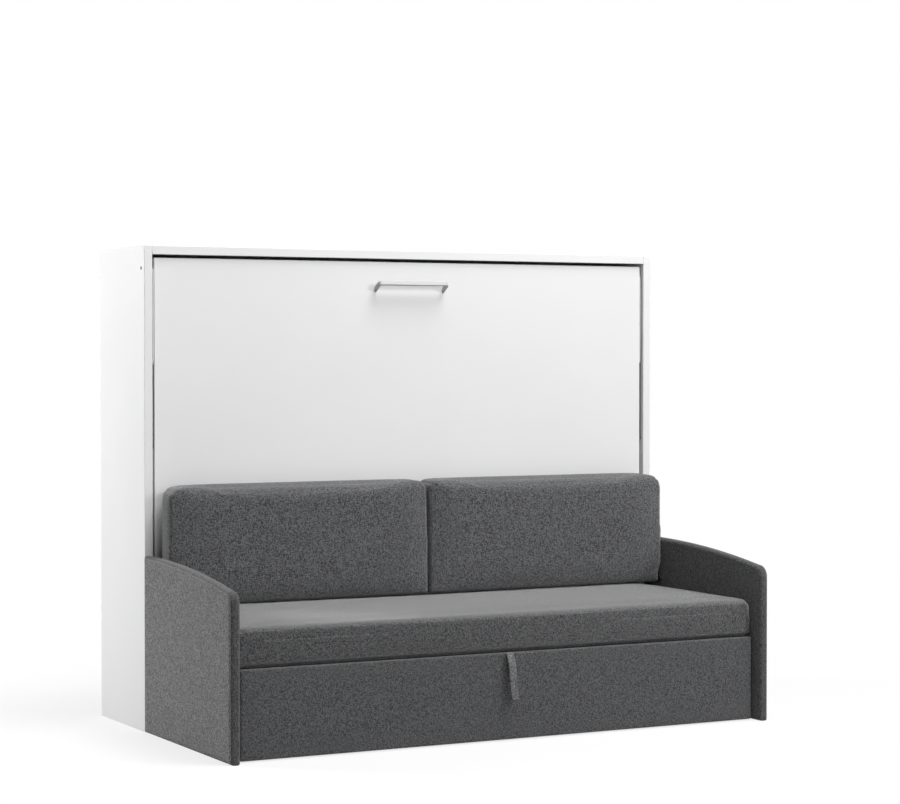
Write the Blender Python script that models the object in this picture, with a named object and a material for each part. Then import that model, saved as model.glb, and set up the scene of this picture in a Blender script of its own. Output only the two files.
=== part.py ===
"""A horizontal wall bed in a low cabinet, with an upholstered sofa in front of it.

Units are metres, +Z is up, +X is the sitter's left to right and +Y points to the wall.
The origin is on the floor, under the middle of the whole piece of furniture.

The door is the underside of the bed. It turns forward and down about two pins in the cabinet's sides.
The bed passes between the arms and over the seat, and the backrest folds flat ahead of it.
A flat leg hangs at each end of the bed and comes to stand on the floor in front of the arms.
A gas strut in each side of the cabinet carries the weight of the bed.
The front panel under the seat is the front of a wide drawer on castors.
"""

import math

import bmesh
import bpy
from mathutils import Matrix, Vector

for old in list(bpy.data.objects):
    bpy.data.objects.remove(old, do_unlink=True)

# The gap between pieces that touch, and between pieces that slide or turn
TOUCH = 0.0003
RUNNING = 0.0015
BORE_PLAY = 0.0002

# Cabinet
CABINET_WIDTH = 2.080
CABINET_HEIGHT = 1.700
CABINET_DEPTH = 0.450
BOARD = 0.030
BOARD_EDGE = 0.001
BACK_BOARD = 0.008
BACK_INSET = 0.012
WALL_RAIL_HEIGHT = 0.110
WALL_RAIL_THICK = 0.018
BASE_BOARD_THICK = 0.018
BASE_BOARD_HEIGHT = 0.050

# Door
DOOR_THICK = 0.018
DOOR_RECESS = 0.010
DOOR_GAP = 0.0115
DOOR_EDGE = 0.0008
DOOR_TAIL = 0.133

# Caps of the holes for the closing pins, high in the cabinet's sides
CAP_RADIUS = 0.0065
CAP_LENGTH = 0.014
CAP_BACK = 0.031
CAP_DROP = 0.078
CAP_HOLLOW_RADIUS = 0.0035
CAP_HOLLOW_DEPTH = 0.003

# Sofa
SOFA_REACH = 0.787
ARM_THICK = 0.0375
ARM_REAR_HEIGHT = 0.617
ARM_FRONT_HEIGHT = 0.560
ARM_FALL_POWER = 2.1
ARM_CORNER = 0.042
ARM_SOFT_EDGE = 0.009
SEAT_TOP = 0.4465
SEAT_THICK = 0.1475
SEAT_CROWN = 0.004
SEAT_SIDE_DRAW = 0.003
SEAT_CORNER = 0.026
SEAT_OVERHANG = 0.005
SEAT_END_GAP = 0.0015
SEAT_BOARD_THICK = 0.018
SEAT_RAIL_THICK = 0.022
SEAT_RAIL_HEIGHT = 0.055

# Backrest
BACKREST_FRONT = 0.1445
BACK_CUSHION_THICK = 0.1145
BACK_CUSHION_HEIGHT = 0.418
BACK_CUSHION_CROWN = 0.010
BACK_CUSHION_DRAW = 0.006
BACK_CUSHION_CORNER = 0.018
BACK_CUSHION_GAP = 0.004
BACK_CUSHION_END = 0.015
BACK_BOARD_THICK = 0.012
BACK_BOARD_DROP = 0.030
BACK_BRACKET_THICK = 0.003
BACK_BRACKET_WIDTH = 0.024
BACK_BRACKET_TALL = 0.140
BACK_BOARD_NOTCH = 0.032
BACK_PIN_RADIUS = 0.005
BACK_PIN_INSET = 0.012
BACK_PIN_LONG = 0.030
BACK_PIN_DEEPER = 0.002
BACK_LIFT = 0.0025

# Bed
FOLD_CLEARANCE = 0.014
PIVOT_BACK = 0.055
PIN_RADIUS = 0.008
PIN_PLATE_THICK = 0.004
PIN_PLATE_LONG = 0.130
PIN_PLATE_DEEP = 0.080
PIN_PLATE_CORNER = 0.012
FRAME_TUBE_WIDE = 0.040
FRAME_TUBE_DEEP = 0.030
FRAME_TUBE_WALL = 0.002
FRAME_END_INSET = 0.045
FRAME_TOP_INSET = 0.013
FRAME_BELOW_PIVOT = 0.070
LEVER_THICK = 0.006
LEVER_REACH = 0.110
LEVER_BOSS = 0.022
LEVER_TIP = 0.014
LEVER_TALL = 0.190
LEVER_STUD_RADIUS = 0.004
SLAT_COUNT = 14
SLAT_WIDE = 0.068
SLAT_THICK = 0.008
SLAT_RISE = 0.008
SLAT_STEPS = 6
SLAT_SEAT = 0.030
TAPE_PLACE_SHARE = 0.25
TAPE_WIDE = 0.030
TAPE_PROUD = 0.0015
TAPE_END = 0.010
MATTRESS_THICK = 0.140
MATTRESS_END_INSET = 0.015
MATTRESS_INSET = 0.005
MATTRESS_CROWN = 0.006
MATTRESS_DRAW = 0.004
MATTRESS_CORNER = 0.024

# Handle
HANDLE_LENGTH = 0.286
HANDLE_DROP = 0.0765
HANDLE_WIDE = 0.017
HANDLE_THICK = 0.007
HANDLE_REACH = 0.036
HANDLE_TILT = math.radians(32)
HANDLE_BEND = 0.012

# Legs
LEG_BAR_THICK = 0.0032
LEG_BAR_WIDE = 0.048
LEG_BAR_LONG = 0.344
LEG_FRONT = 0.012
LEG_PIVOT_DROP = 0.016
LEG_PIVOT_BACK = 0.028
LEG_SIDE_GAP = 0.0018
LEG_STUD_RADIUS = 0.004
LEG_COLLAR_RADIUS = 0.010
LEG_EXTENSION_WIDE = 0.036
LEG_OVERLAP = 0.110
LEG_BOLT_RADIUS = 0.003
LEG_BOLT_MARGIN = 0.020
LEG_FOOT_HIGH = 0.016
LEG_FOOT_WALL = 0.0008
LEG_FLOOR_GAP = 0.0006

# Gas struts
STRUT_TOP_BACK = 0.330
STRUT_TOP_RISE = 0.505
STRUT_RADIUS = 0.010
STRUT_BORE = 0.0085
STRUT_ROD = 0.005
STRUT_TUBE_LONG = 0.350
STRUT_TUBE_START = 0.014
STRUT_NECK = 0.0045
STRUT_NECK_START = 0.007
STRUT_SHOULDER = 0.007
STRUT_END_WALL = 0.020
STRUT_GLAND = 0.018
STRUT_EYE_RADIUS = 0.011
STRUT_EYE_THICK = 0.011
STRUT_STUD_RADIUS = 0.004
STRUT_PISTON_LONG = 0.014
STRUT_PISTON_INSET = 0.018
STRUT_PLATE = 0.058
STRUT_PLATE_THICK = 0.004
OPEN_PIVOT_GAP = 0.0005

# Drawer
DRAWER_TRAVEL = 0.450
DRAWER_KEPT = 0.150
DRAWER_FRONT_THICK = 0.025
DRAWER_FRONT_SETBACK = 0.035
DRAWER_FRONT_SOFT = 0.006
DRAWER_SEAM = 0.0035
DRAWER_END_GAP = 0.0125
DRAWER_FLOOR_GAP = 0.004
DRAWER_SIDE_THICK = 0.016
DRAWER_SIDE_INSET = 0.020
DRAWER_BOTTOM_THICK = 0.010
DRAWER_BOX_LOW = 0.050
DRAWER_BOX_HIGH = 0.215
CASTOR_RADIUS = 0.021
CASTOR_WIDE = 0.018
CASTOR_AXLE_RADIUS = 0.003
CASTOR_FORK_WALL = 0.003
CASTOR_FORK_DEEP = 0.030
CASTOR_END_INSET = 0.090
CASTOR_FRONT_INSET = 0.080
CASTOR_REAR_INSET = 0.060
CASTOR_CROWN = 0.003

# Pull strap of the drawer
PULL_WIDE = 0.027
PULL_SIDE = 0.002
PULL_THIN = 0.0026
PULL_THICK = 0.0078
PULL_LONG = 0.158
PULL_BOW = 0.0265
PULL_BOW_SHARE = 0.42
PULL_STEPS = 18

# Fineness of round forms
TURN_STEPS = 20
FINE_TURN_STEPS = 28
BEND_STEPS = 5
ARM_STEPS = 12
CROWN_POWER = 4
SHARP_ANGLE = math.radians(35)

# Places that follow from the sizes above
FRONT = (SOFA_REACH - CABINET_DEPTH) / 2
SOFA_FRONT = FRONT - SOFA_REACH
BACK = FRONT + CABINET_DEPTH
HALF = CABINET_WIDTH / 2
INNER = HALF - BOARD
TOP_UNDER = CABINET_HEIGHT - BOARD
BACK_BOARD_FRONT = BACK - BACK_INSET - BACK_BOARD
DOOR_FACE = FRONT + DOOR_RECESS
DOOR_INSIDE = DOOR_FACE + DOOR_THICK
DOOR_HALF = INNER - DOOR_GAP
DOOR_TOP = TOP_UNDER - DOOR_GAP
SEAT_UNDER = SEAT_TOP - SEAT_THICK
SEAT_BOARD_TOP = SEAT_UNDER - TOUCH
SEAT_BOARD_UNDER = SEAT_BOARD_TOP - SEAT_BOARD_THICK
PANEL_FACE = SOFA_FRONT + DRAWER_FRONT_SETBACK
PANEL_REAR = PANEL_FACE + DRAWER_FRONT_THICK
BACKREST_FACE = FRONT - BACKREST_FRONT
CUSHION_LOW = SEAT_TOP + BACK_LIFT
CUSHION_REAR = BACKREST_FACE + BACK_CUSHION_THICK
CUSHION_HALF = INNER - BACK_CUSHION_END
BACKREST_PIVOT = Vector((0, BACKREST_FACE + BACK_PIN_INSET, CUSHION_LOW + BACK_PIN_INSET))
BACKREST_BRACKET_IN = CUSHION_HALF + BACK_BRACKET_THICK
BACKREST_BRACKET_OUT = BACKREST_BRACKET_IN + BACK_BRACKET_THICK
BACKREST_REAR = CUSHION_REAR + TOUCH + BACK_BOARD_THICK
FOLDED_HEIGHT = BACKREST_PIVOT.z + BACKREST_REAR - BACKREST_PIVOT.y
PIVOT = Vector((0, DOOR_FACE + PIVOT_BACK, FOLDED_HEIGHT + FOLD_CLEARANCE + PIVOT_BACK))
DOOR_BOTTOM = PIVOT.z - DOOR_TAIL
FRAME_FRONT = DOOR_INSIDE + TOUCH
FRAME_REAR = FRAME_FRONT + FRAME_TUBE_DEEP
FRAME_HALF = INNER - FRAME_END_INSET
FRAME_LOW = PIVOT.z - FRAME_BELOW_PIVOT
FRAME_HIGH = DOOR_TOP - FRAME_TOP_INSET
LEVER_IN = FRAME_HALF + TOUCH
LEVER_OUT = LEVER_IN + LEVER_THICK
LEG_BAR_IN = DOOR_HALF + LEG_SIDE_GAP
LEG_BAR_OUT = LEG_BAR_IN + LEG_BAR_THICK
LEG_EXTENSION_IN = LEG_BAR_OUT + TOUCH
LEG_EXTENSION_OUT = LEG_EXTENSION_IN + LEG_BAR_THICK
LEG_TOP = CABINET_HEIGHT - CAP_DROP + LEG_PIVOT_DROP / 4
LEG_PIVOT = Vector((0, FRONT + LEG_FRONT + LEG_PIVOT_BACK, LEG_TOP - LEG_PIVOT_DROP))
LEG_LENGTH = PIVOT.z + LEG_PIVOT.y - PIVOT.y - LEG_FLOOR_GAP
LEG_FOOT = LEG_PIVOT.z - LEG_LENGTH
STRUT_MIDDLE = (LEVER_OUT + INNER) / 2
STRUT_TOP = Vector((0, FRONT + STRUT_TOP_BACK, PIVOT.z + STRUT_TOP_RISE))
STRUT_FOOT = Vector((0, PIVOT.y, PIVOT.z - LEVER_REACH))
STRUT_LINE = STRUT_FOOT - STRUT_TOP
SIDES = (("left", -1), ("right", 1))


def new_material(name, colour, roughness, metallic=0.0):
    """A Principled material of one colour, roughness and metallic value."""
    result = bpy.data.materials.new(name)
    result.use_nodes = True
    shader = result.node_tree.nodes["Principled BSDF"]
    shader.inputs["Base Color"].default_value = (*colour, 1.0)
    shader.inputs["Roughness"].default_value = roughness
    shader.inputs["Metallic"].default_value = metallic
    return result


MELAMINE = new_material("white_melamine", (0.84, 0.84, 0.84), 0.45)
HARDBOARD = new_material("hardboard", (0.80, 0.80, 0.79), 0.60)
CHARCOAL = new_material("charcoal_weave", (0.085, 0.088, 0.092), 0.90)
SEAT_CLOTH = new_material("seat_weave", (0.12, 0.12, 0.125), 0.85)
STRAP_CLOTH = new_material("strap_weave", (0.11, 0.11, 0.115), 0.90)
BRUSHED = new_material("handle_metal", (0.45, 0.45, 0.45), 0.35, 1.0)
FRAME_STEEL = new_material("frame_steel", (0.30, 0.31, 0.32), 0.45, 0.6)
PLATED = new_material("plated_steel", (0.62, 0.62, 0.63), 0.30, 1.0)
DARK_STEEL = new_material("dark_steel", (0.03, 0.03, 0.03), 0.50, 0.5)
WHITE_STEEL = new_material("white_steel", (0.80, 0.80, 0.80), 0.40)
BLACK_PLASTIC = new_material("black_plastic", (0.03, 0.03, 0.03), 0.50)
BEECH = new_material("beech_ply", (0.66, 0.50, 0.33), 0.55)
PLYWOOD = new_material("plywood", (0.62, 0.49, 0.34), 0.65)
BLACK_BOARD = new_material("black_board", (0.03, 0.03, 0.032), 0.7)
TICKING = new_material("mattress_cloth", (0.78, 0.77, 0.74), 0.90)
RUBBER = new_material("rubber", (0.05, 0.05, 0.05), 0.80)


def joint_empty(name, place):
    """An empty on a joint's axis, which carries what turns or slides there."""
    result = bpy.data.objects.new(name, None)
    result.location = place
    bpy.context.scene.collection.objects.link(result)
    return result


def at_side(place, across):
    """A place in the Y-Z plane, moved to a distance across the width."""
    return Vector((across, place.y, place.z))


BED_AXIS = joint_empty("bed_axis", PIVOT)
BACKREST_AXIS = joint_empty("backrest_axis", BACKREST_PIVOT)
DRAWER_RUN = joint_empty("drawer_run", (0, PANEL_FACE, DRAWER_BOX_LOW))


def new_object(name, mesh_code, finish, carrier=None, smooth=False):
    """Makes an object whose origin is its carrier's joint, or its own middle."""
    bmesh.ops.recalc_face_normals(mesh_code, faces=mesh_code.faces)
    mesh = bpy.data.meshes.new(name)
    mesh_code.to_mesh(mesh)
    mesh_code.free()
    if smooth:
        mesh.shade_smooth()
        mesh.set_sharp_from_angle(angle=SHARP_ANGLE)
    mesh.materials.append(finish)
    result = bpy.data.objects.new(name, mesh)
    bpy.context.scene.collection.objects.link(result)
    if carrier:
        result.parent = carrier
        mesh.transform(Matrix.Translation(-carrier.location))
    else:
        corners = [Vector(corner) for corner in result.bound_box]
        middle = (corners[0] + corners[6]) / 2
        mesh.transform(Matrix.Translation(-middle))
        result.location = middle
    return result


def add_box(mesh_code, low, high, edge=0.0):
    """A box between two corners, with its edges taken off by a small bevel."""
    size = Vector(high) - Vector(low)
    shape = Matrix.Translation((Vector(low) + Vector(high)) / 2) @ Matrix.Diagonal((*size, 1))
    corners = bmesh.ops.create_cube(mesh_code, size=1, matrix=shape)["verts"]
    if edge:
        edges = list({line for corner in corners for line in corner.link_edges})
        bmesh.ops.bevel(mesh_code, geom=edges, offset=edge, segments=1, affect="EDGES")


def block(name, low, high, finish, edge=0.0, carrier=None):
    """A board or bar between two corners."""
    mesh_code = bmesh.new()
    add_box(mesh_code, low, high, edge)
    return new_object(name, mesh_code, finish, carrier)


def across_pair(sign, inner, outer):
    """The lower and the higher X of a piece at one side."""
    return sorted((sign * inner, sign * outer))


def round_points(middle, radius, steps, start=0.0, sweep=2 * math.pi):
    """Points of a circle or an arc in the Y-Z plane, from +Y towards +Z."""
    whole = abs(sweep - 2 * math.pi) < 1e-9
    count = steps if whole else steps + 1
    return [
        (
            middle[0] + radius * math.cos(start + sweep * step / steps),
            middle[1] + radius * math.sin(start + sweep * step / steps),
        )
        for step in range(count)
    ]


def hull_outline(points):
    """The convex outline round points of the Y-Z plane, in order."""

    def chain(ordered):
        kept = []
        for point in ordered:
            while len(kept) > 1:
                (ay, az), (by, bz) = kept[-2], kept[-1]
                turn = (by - ay) * (point[1] - az) - (bz - az) * (point[0] - ay)
                if turn > 1e-9:
                    break
                kept.pop()
            kept.append(point)
        return kept[:-1]

    ordered = sorted(set(points))
    return chain(ordered) + chain(ordered[::-1])


def add_plate(mesh_code, outline, holes, low, high):
    """A flat plate from one X to another: an outline in the Y-Z plane, less its holes."""
    edges = []
    for loop in [outline] + holes:
        corners = [mesh_code.verts.new((low, y, z)) for y, z in loop]
        following = corners[1:] + corners[:1]
        edges += [mesh_code.edges.new(pair) for pair in zip(corners, following)]
    filled = bmesh.ops.triangle_fill(mesh_code, use_beauty=True, edges=edges)
    faces = [item for item in filled["geom"] if isinstance(item, bmesh.types.BMFace)]
    grown = bmesh.ops.extrude_face_region(mesh_code, geom=faces)
    corners = [item for item in grown["geom"] if isinstance(item, bmesh.types.BMVert)]
    bmesh.ops.translate(mesh_code, vec=(high - low, 0, 0), verts=corners)


def add_turned(mesh_code, profile, start, direction, steps=TURN_STEPS):
    """Turns pairs of radius and distance about a line. A radius of zero closes on the line."""
    axis = Vector(direction).normalized()
    side = axis.orthogonal().normalized()
    upward = axis.cross(side)
    rings = []
    for radius, along in profile:
        middle = Vector(start) + axis * along
        if not radius:
            rings.append([mesh_code.verts.new(middle)])
            continue
        ring = []
        for step in range(steps):
            angle = 2 * math.pi * step / steps
            outward = side * math.cos(angle) + upward * math.sin(angle)
            ring.append(mesh_code.verts.new(middle + radius * outward))
        rings.append(ring)
    closed = len(rings[0]) == steps
    pairs = list(zip(rings, rings[1:] + rings[:1] if closed else rings[1:]))
    for first, second in pairs:
        for step in range(steps):
            after = (step + 1) % steps
            corners = [first[step % len(first)], first[after % len(first)]]
            corners += [second[after % len(second)], second[step % len(second)]]
            mesh_code.faces.new(list(dict.fromkeys(corners)))


def joined(whole, addition, operation="UNION"):
    """Joins a second object to the first for good, or cuts it out of it."""
    change = whole.modifiers.new("join", "BOOLEAN")
    change.operation = operation
    change.object = addition
    change.solver = "EXACT"
    bpy.context.view_layer.update()
    state = bpy.context.evaluated_depsgraph_get()
    result = bpy.data.meshes.new_from_object(whole.evaluated_get(state))
    whole.modifiers.clear()
    whole.data = result
    bpy.data.objects.remove(addition, do_unlink=True)
    return whole


def add_strip(mesh_code, path, thicknesses, low, high):
    """A band of varying thickness from one X to another, along a path in the Y-Z plane."""
    points = [Vector((0, y, z)) for y, z in path]
    rows = []
    for place, point in enumerate(points):
        before = points[max(place - 1, 0)]
        after = points[min(place + 1, len(points) - 1)]
        along = (after - before).normalized()
        outward = Vector((0, -along.z, along.y)) * thicknesses[place] / 2
        rows.append((point + outward, point - outward))
    rings = []
    for upper, lower in rows:
        corners = ((low, upper), (high, upper), (high, lower), (low, lower))
        rings.append([mesh_code.verts.new((x, point.y, point.z)) for x, point in corners])
    for first, second in zip(rings, rings[1:]):
        for corner in range(4):
            after = (corner + 1) % 4
            mesh_code.faces.new((first[corner], first[after], second[after], second[corner]))
    mesh_code.faces.new(rings[0])
    mesh_code.faces.new(rings[-1])


def soft_lines(low, high, corner, steps):
    """Places along one side of a cushion: close together round its corners, even between them."""
    bends = [corner * math.tan(angle) for angle in (0, math.pi / 8, math.pi / 4)]
    flat = high - low - 2 * corner
    inner = [low + corner + flat * step / steps for step in range(1, steps)]
    return [low + corner - bend for bend in bends[::-1]] + inner + [high - corner + bend for bend in bends]


def soft_body(name, low, high, finish, corner, crown, draw, thin_axis, steps, carrier=None, flat_low=False):
    """A padded block. Its broad faces are crowned and its narrow sides are drawn in between the corners.

    Each point of a gridded box is moved to the rounded box of the same size. Then the broad faces
    sink from their middle to their rim by the crown, and the sides lean in by the draw.
    """
    low, high = Vector(low), Vector(high)
    middle, half = (low + high) / 2, (high - low) / 2
    lines = [soft_lines(low[axis], high[axis], corner, steps[axis]) for axis in range(3)]
    mesh_code = bmesh.new()
    known = {}

    def shaped(point):
        core = Vector([min(max(point[a], low[a] + corner), high[a] - corner) for a in range(3)])
        offset = point - core
        point = core + offset.normalized() * corner
        share = [(point[a] - middle[a]) / half[a] for a in range(3)]
        broad = [axis for axis in range(3) if axis != thin_axis]
        rim = max(abs(share[a]) ** CROWN_POWER for a in broad)
        level = share[thin_axis]
        result = point.copy()
        if not (flat_low and level < 0):
            result[thin_axis] -= level * crown * rim
        for axis in broad:
            other = broad[1] if axis == broad[0] else broad[0]
            middle_share = (1 - share[other] ** 2) * (1 - level ** 2)
            result[axis] -= draw * share[axis] ** 3 * middle_share
        return result

    def corner_at(indices):
        if indices not in known:
            place = Vector([lines[axis][indices[axis]] for axis in range(3)])
            known[indices] = mesh_code.verts.new(shaped(place))
        return known[indices]

    for axis in range(3):
        first, second = [other for other in range(3) if other != axis]
        for end in (0, len(lines[axis]) - 1):
            for i in range(len(lines[first]) - 1):
                for j in range(len(lines[second]) - 1):
                    corners = []
                    for step_i, step_j in ((0, 0), (1, 0), (1, 1), (0, 1)):
                        indices = [0, 0, 0]
                        indices[axis] = end
                        indices[first] = i + step_i
                        indices[second] = j + step_j
                        corners.append(corner_at(tuple(indices)))
                    mesh_code.faces.new(corners)
    return new_object(name, mesh_code, finish, carrier, smooth=True)


def rounded_rectangle(low, high, corner, steps=BEND_STEPS):
    """Points round a rectangle of the Y-Z plane with arcs at its corners."""
    quarter = math.pi / 2
    corners = (
        ((high[0] - corner, high[1] - corner), 0),
        ((low[0] + corner, high[1] - corner), 1),
        ((low[0] + corner, low[1] + corner), 2),
        ((high[0] - corner, low[1] + corner), 3),
    )
    points = []
    for middle, turn in corners:
        points += round_points(middle, corner, steps, turn * quarter, quarter)
    return points


def pivot_plate_outline(grown):
    """The side view of a pivot plate, or of the pocket round it, larger all round by a margin."""
    half_deep = PIN_PLATE_DEEP / 2 + grown
    half_long = PIN_PLATE_LONG / 2 + grown
    low_corner = (PIVOT.y - half_deep, PIVOT.z - half_long)
    high_corner = (PIVOT.y + half_deep, PIVOT.z + half_long)
    return rounded_rectangle(low_corner, high_corner, PIN_PLATE_CORNER)


# Cabinet: two sides that stand on the floor, with the top and the inner boards between them.
# Each side has a through hole for a cap, and a shallow pocket in which its pivot plate lies flush.
for side, sign in SIDES:
    near, far = across_pair(sign, INNER, HALF)
    panel = block(f"side_panel_{side}", (near, FRONT, 0), (far, BACK, CABINET_HEIGHT), MELAMINE, BOARD_EDGE)
    drill = bmesh.new()
    drill_start = (near - BOARD, FRONT + CAP_BACK, CABINET_HEIGHT - CAP_DROP)
    drill_radius = CAP_RADIUS + TOUCH
    drill_profile = [(0, 0), (drill_radius, 0), (drill_radius, 3 * BOARD), (0, 3 * BOARD)]
    add_turned(drill, drill_profile, drill_start, (1, 0, 0))
    joined(panel, new_object("drill", drill, MELAMINE), "DIFFERENCE")
    pocket = bmesh.new()
    pocket_floor = INNER + PIN_PLATE_THICK + TOUCH
    add_plate(pocket, pivot_plate_outline(TOUCH), [], *across_pair(sign, INNER - BOARD_EDGE, pocket_floor))
    joined(panel, new_object("pocket", pocket, MELAMINE), "DIFFERENCE")

for side, sign in SIDES:
    cap_code = bmesh.new()
    cap_profile = [
        (0, 0),
        (CAP_RADIUS, 0),
        (CAP_RADIUS, CAP_LENGTH),
        (CAP_HOLLOW_RADIUS, CAP_LENGTH),
        (CAP_HOLLOW_RADIUS, CAP_LENGTH - CAP_HOLLOW_DEPTH),
        (0, CAP_LENGTH - CAP_HOLLOW_DEPTH),
    ]
    cap_start = (sign * (HALF - CAP_LENGTH), FRONT + CAP_BACK, CABINET_HEIGHT - CAP_DROP)
    add_turned(cap_code, cap_profile, cap_start, (sign, 0, 0))
    new_object(f"side_cap_{side}", cap_code, BLACK_PLASTIC, smooth=True)

between = INNER - TOUCH
block("top_board", (-between, FRONT, TOP_UNDER), (between, BACK, CABINET_HEIGHT), MELAMINE, BOARD_EDGE)
lower_panel_top = DOOR_BOTTOM - DOOR_GAP
block(
    "lower_front_panel",
    (-between, DOOR_FACE, 0),
    (between, DOOR_INSIDE, lower_panel_top),
    MELAMINE,
    DOOR_EDGE,
)
base_board_front = DOOR_INSIDE + TOUCH
base_board_top = BASE_BOARD_HEIGHT + BASE_BOARD_THICK
base_board_rear = BACK_BOARD_FRONT - TOUCH
block(
    "base_board",
    (-between, base_board_front, BASE_BOARD_HEIGHT),
    (between, base_board_rear, base_board_top),
    MELAMINE,
)
inner_top = TOP_UNDER - TOUCH
block(
    "back_board",
    (-between, BACK_BOARD_FRONT, BASE_BOARD_HEIGHT),
    (between, BACK_BOARD_FRONT + BACK_BOARD, inner_top),
    HARDBOARD,
)
wall_rail_front = BACK_BOARD_FRONT - TOUCH - WALL_RAIL_THICK
block(
    "wall_rail",
    (-between, wall_rail_front, inner_top - WALL_RAIL_HEIGHT),
    (between, BACK_BOARD_FRONT - TOUCH, inner_top),
    MELAMINE,
    DOOR_EDGE,
)


# Pivot plates in the cabinet's sides, each with the pin that the bed turns on
for side, sign in SIDES:
    plate_code = bmesh.new()
    add_plate(plate_code, pivot_plate_outline(0), [], *across_pair(sign, INNER, INNER + PIN_PLATE_THICK))
    pin_code = bmesh.new()
    pin_long = INNER + PIN_PLATE_THICK / 2 - LEVER_IN
    pin_profile = [(0, 0), (PIN_RADIUS, 0), (PIN_RADIUS, pin_long), (0, pin_long)]
    add_turned(pin_code, pin_profile, at_side(PIVOT, sign * LEVER_IN), (sign, 0, 0), FINE_TURN_STEPS)
    plate = new_object(f"pivot_plate_{side}", plate_code, PLATED, smooth=True)
    joined(plate, new_object("pin", pin_code, PLATED))


# Arms: padded panels against the front edges of the cabinet's sides
def arm_outline():
    """The side view of an arm: upright at the rear, then falling in one swell to a round front corner."""
    rear, front = FRONT - TOUCH, SOFA_FRONT
    corner = (front + ARM_CORNER, ARM_FRONT_HEIGHT - ARM_CORNER)
    points = [(front, 0), (rear, 0), (rear, ARM_REAR_HEIGHT - ARM_SOFT_EDGE)]
    run = rear - ARM_SOFT_EDGE - corner[0]
    fall = ARM_REAR_HEIGHT - ARM_FRONT_HEIGHT
    for step in range(ARM_STEPS + 1):
        share = step / ARM_STEPS
        points.append((rear - ARM_SOFT_EDGE - run * share, ARM_REAR_HEIGHT - fall * share ** ARM_FALL_POWER))
    slope = math.atan(ARM_FALL_POWER * fall / run)
    turn = math.pi / 2 - slope
    points += round_points(corner, ARM_CORNER, BEND_STEPS, math.pi / 2 + slope / 2, turn + slope / 2)[1:]
    return points


for side, sign in SIDES:
    arm_code = bmesh.new()
    arm_out = INNER + ARM_THICK
    add_plate(arm_code, arm_outline(), [], *across_pair(sign, INNER, arm_out))
    rims = [line for line in arm_code.edges if line.calc_face_angle(0) > math.pi / 2 - SHARP_ANGLE]
    rims = [line for line in rims if abs(line.verts[0].co.x - line.verts[1].co.x) < TOUCH]
    bmesh.ops.bevel(arm_code, geom=rims, offset=ARM_SOFT_EDGE, segments=3, profile=0.5, affect="EDGES")
    arm = new_object(f"arm_{side}", arm_code, CHARCOAL, smooth=True)
    bush_code = bmesh.new()
    bush_radius = BACK_PIN_RADIUS + BORE_PLAY
    bush_end = BACK_PIN_LONG + BACK_PIN_DEEPER
    bush_profile = [(0, 0), (bush_radius, 0), (bush_radius, bush_end), (0, bush_end)]
    add_turned(bush_code, bush_profile, at_side(BACKREST_PIVOT, sign * BACKREST_BRACKET_OUT), (sign, 0, 0))
    joined(arm, new_object("bush", bush_code, CHARCOAL), "DIFFERENCE")

# Seat: a platform on two rails between the arms, with one long cushion
seat_front = PANEL_REAR + RUNNING
seat_rear = FRONT - TOUCH
rail_top = SEAT_BOARD_UNDER - TOUCH
block(
    "seat_board",
    (-between, seat_front, SEAT_BOARD_UNDER),
    (between, seat_rear, SEAT_BOARD_TOP),
    BLACK_BOARD,
    DOOR_EDGE,
)
block("seat_rear_board", (-between, seat_rear - SEAT_RAIL_THICK, 0), (between, seat_rear, rail_top), PLYWOOD)
block(
    "seat_front_rail",
    (-between, seat_front, rail_top - SEAT_RAIL_HEIGHT),
    (between, seat_front + SEAT_RAIL_THICK, rail_top),
    BLACK_BOARD,
)
seat_half = INNER - SEAT_END_GAP
soft_body(
    "seat_cushion",
    (-seat_half, PANEL_FACE - SEAT_OVERHANG, SEAT_UNDER),
    (seat_half, seat_rear, SEAT_TOP),
    SEAT_CLOTH,
    SEAT_CORNER,
    SEAT_CROWN,
    SEAT_SIDE_DRAW,
    2,
    (12, 6, 2),
    flat_low=True,
)

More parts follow.
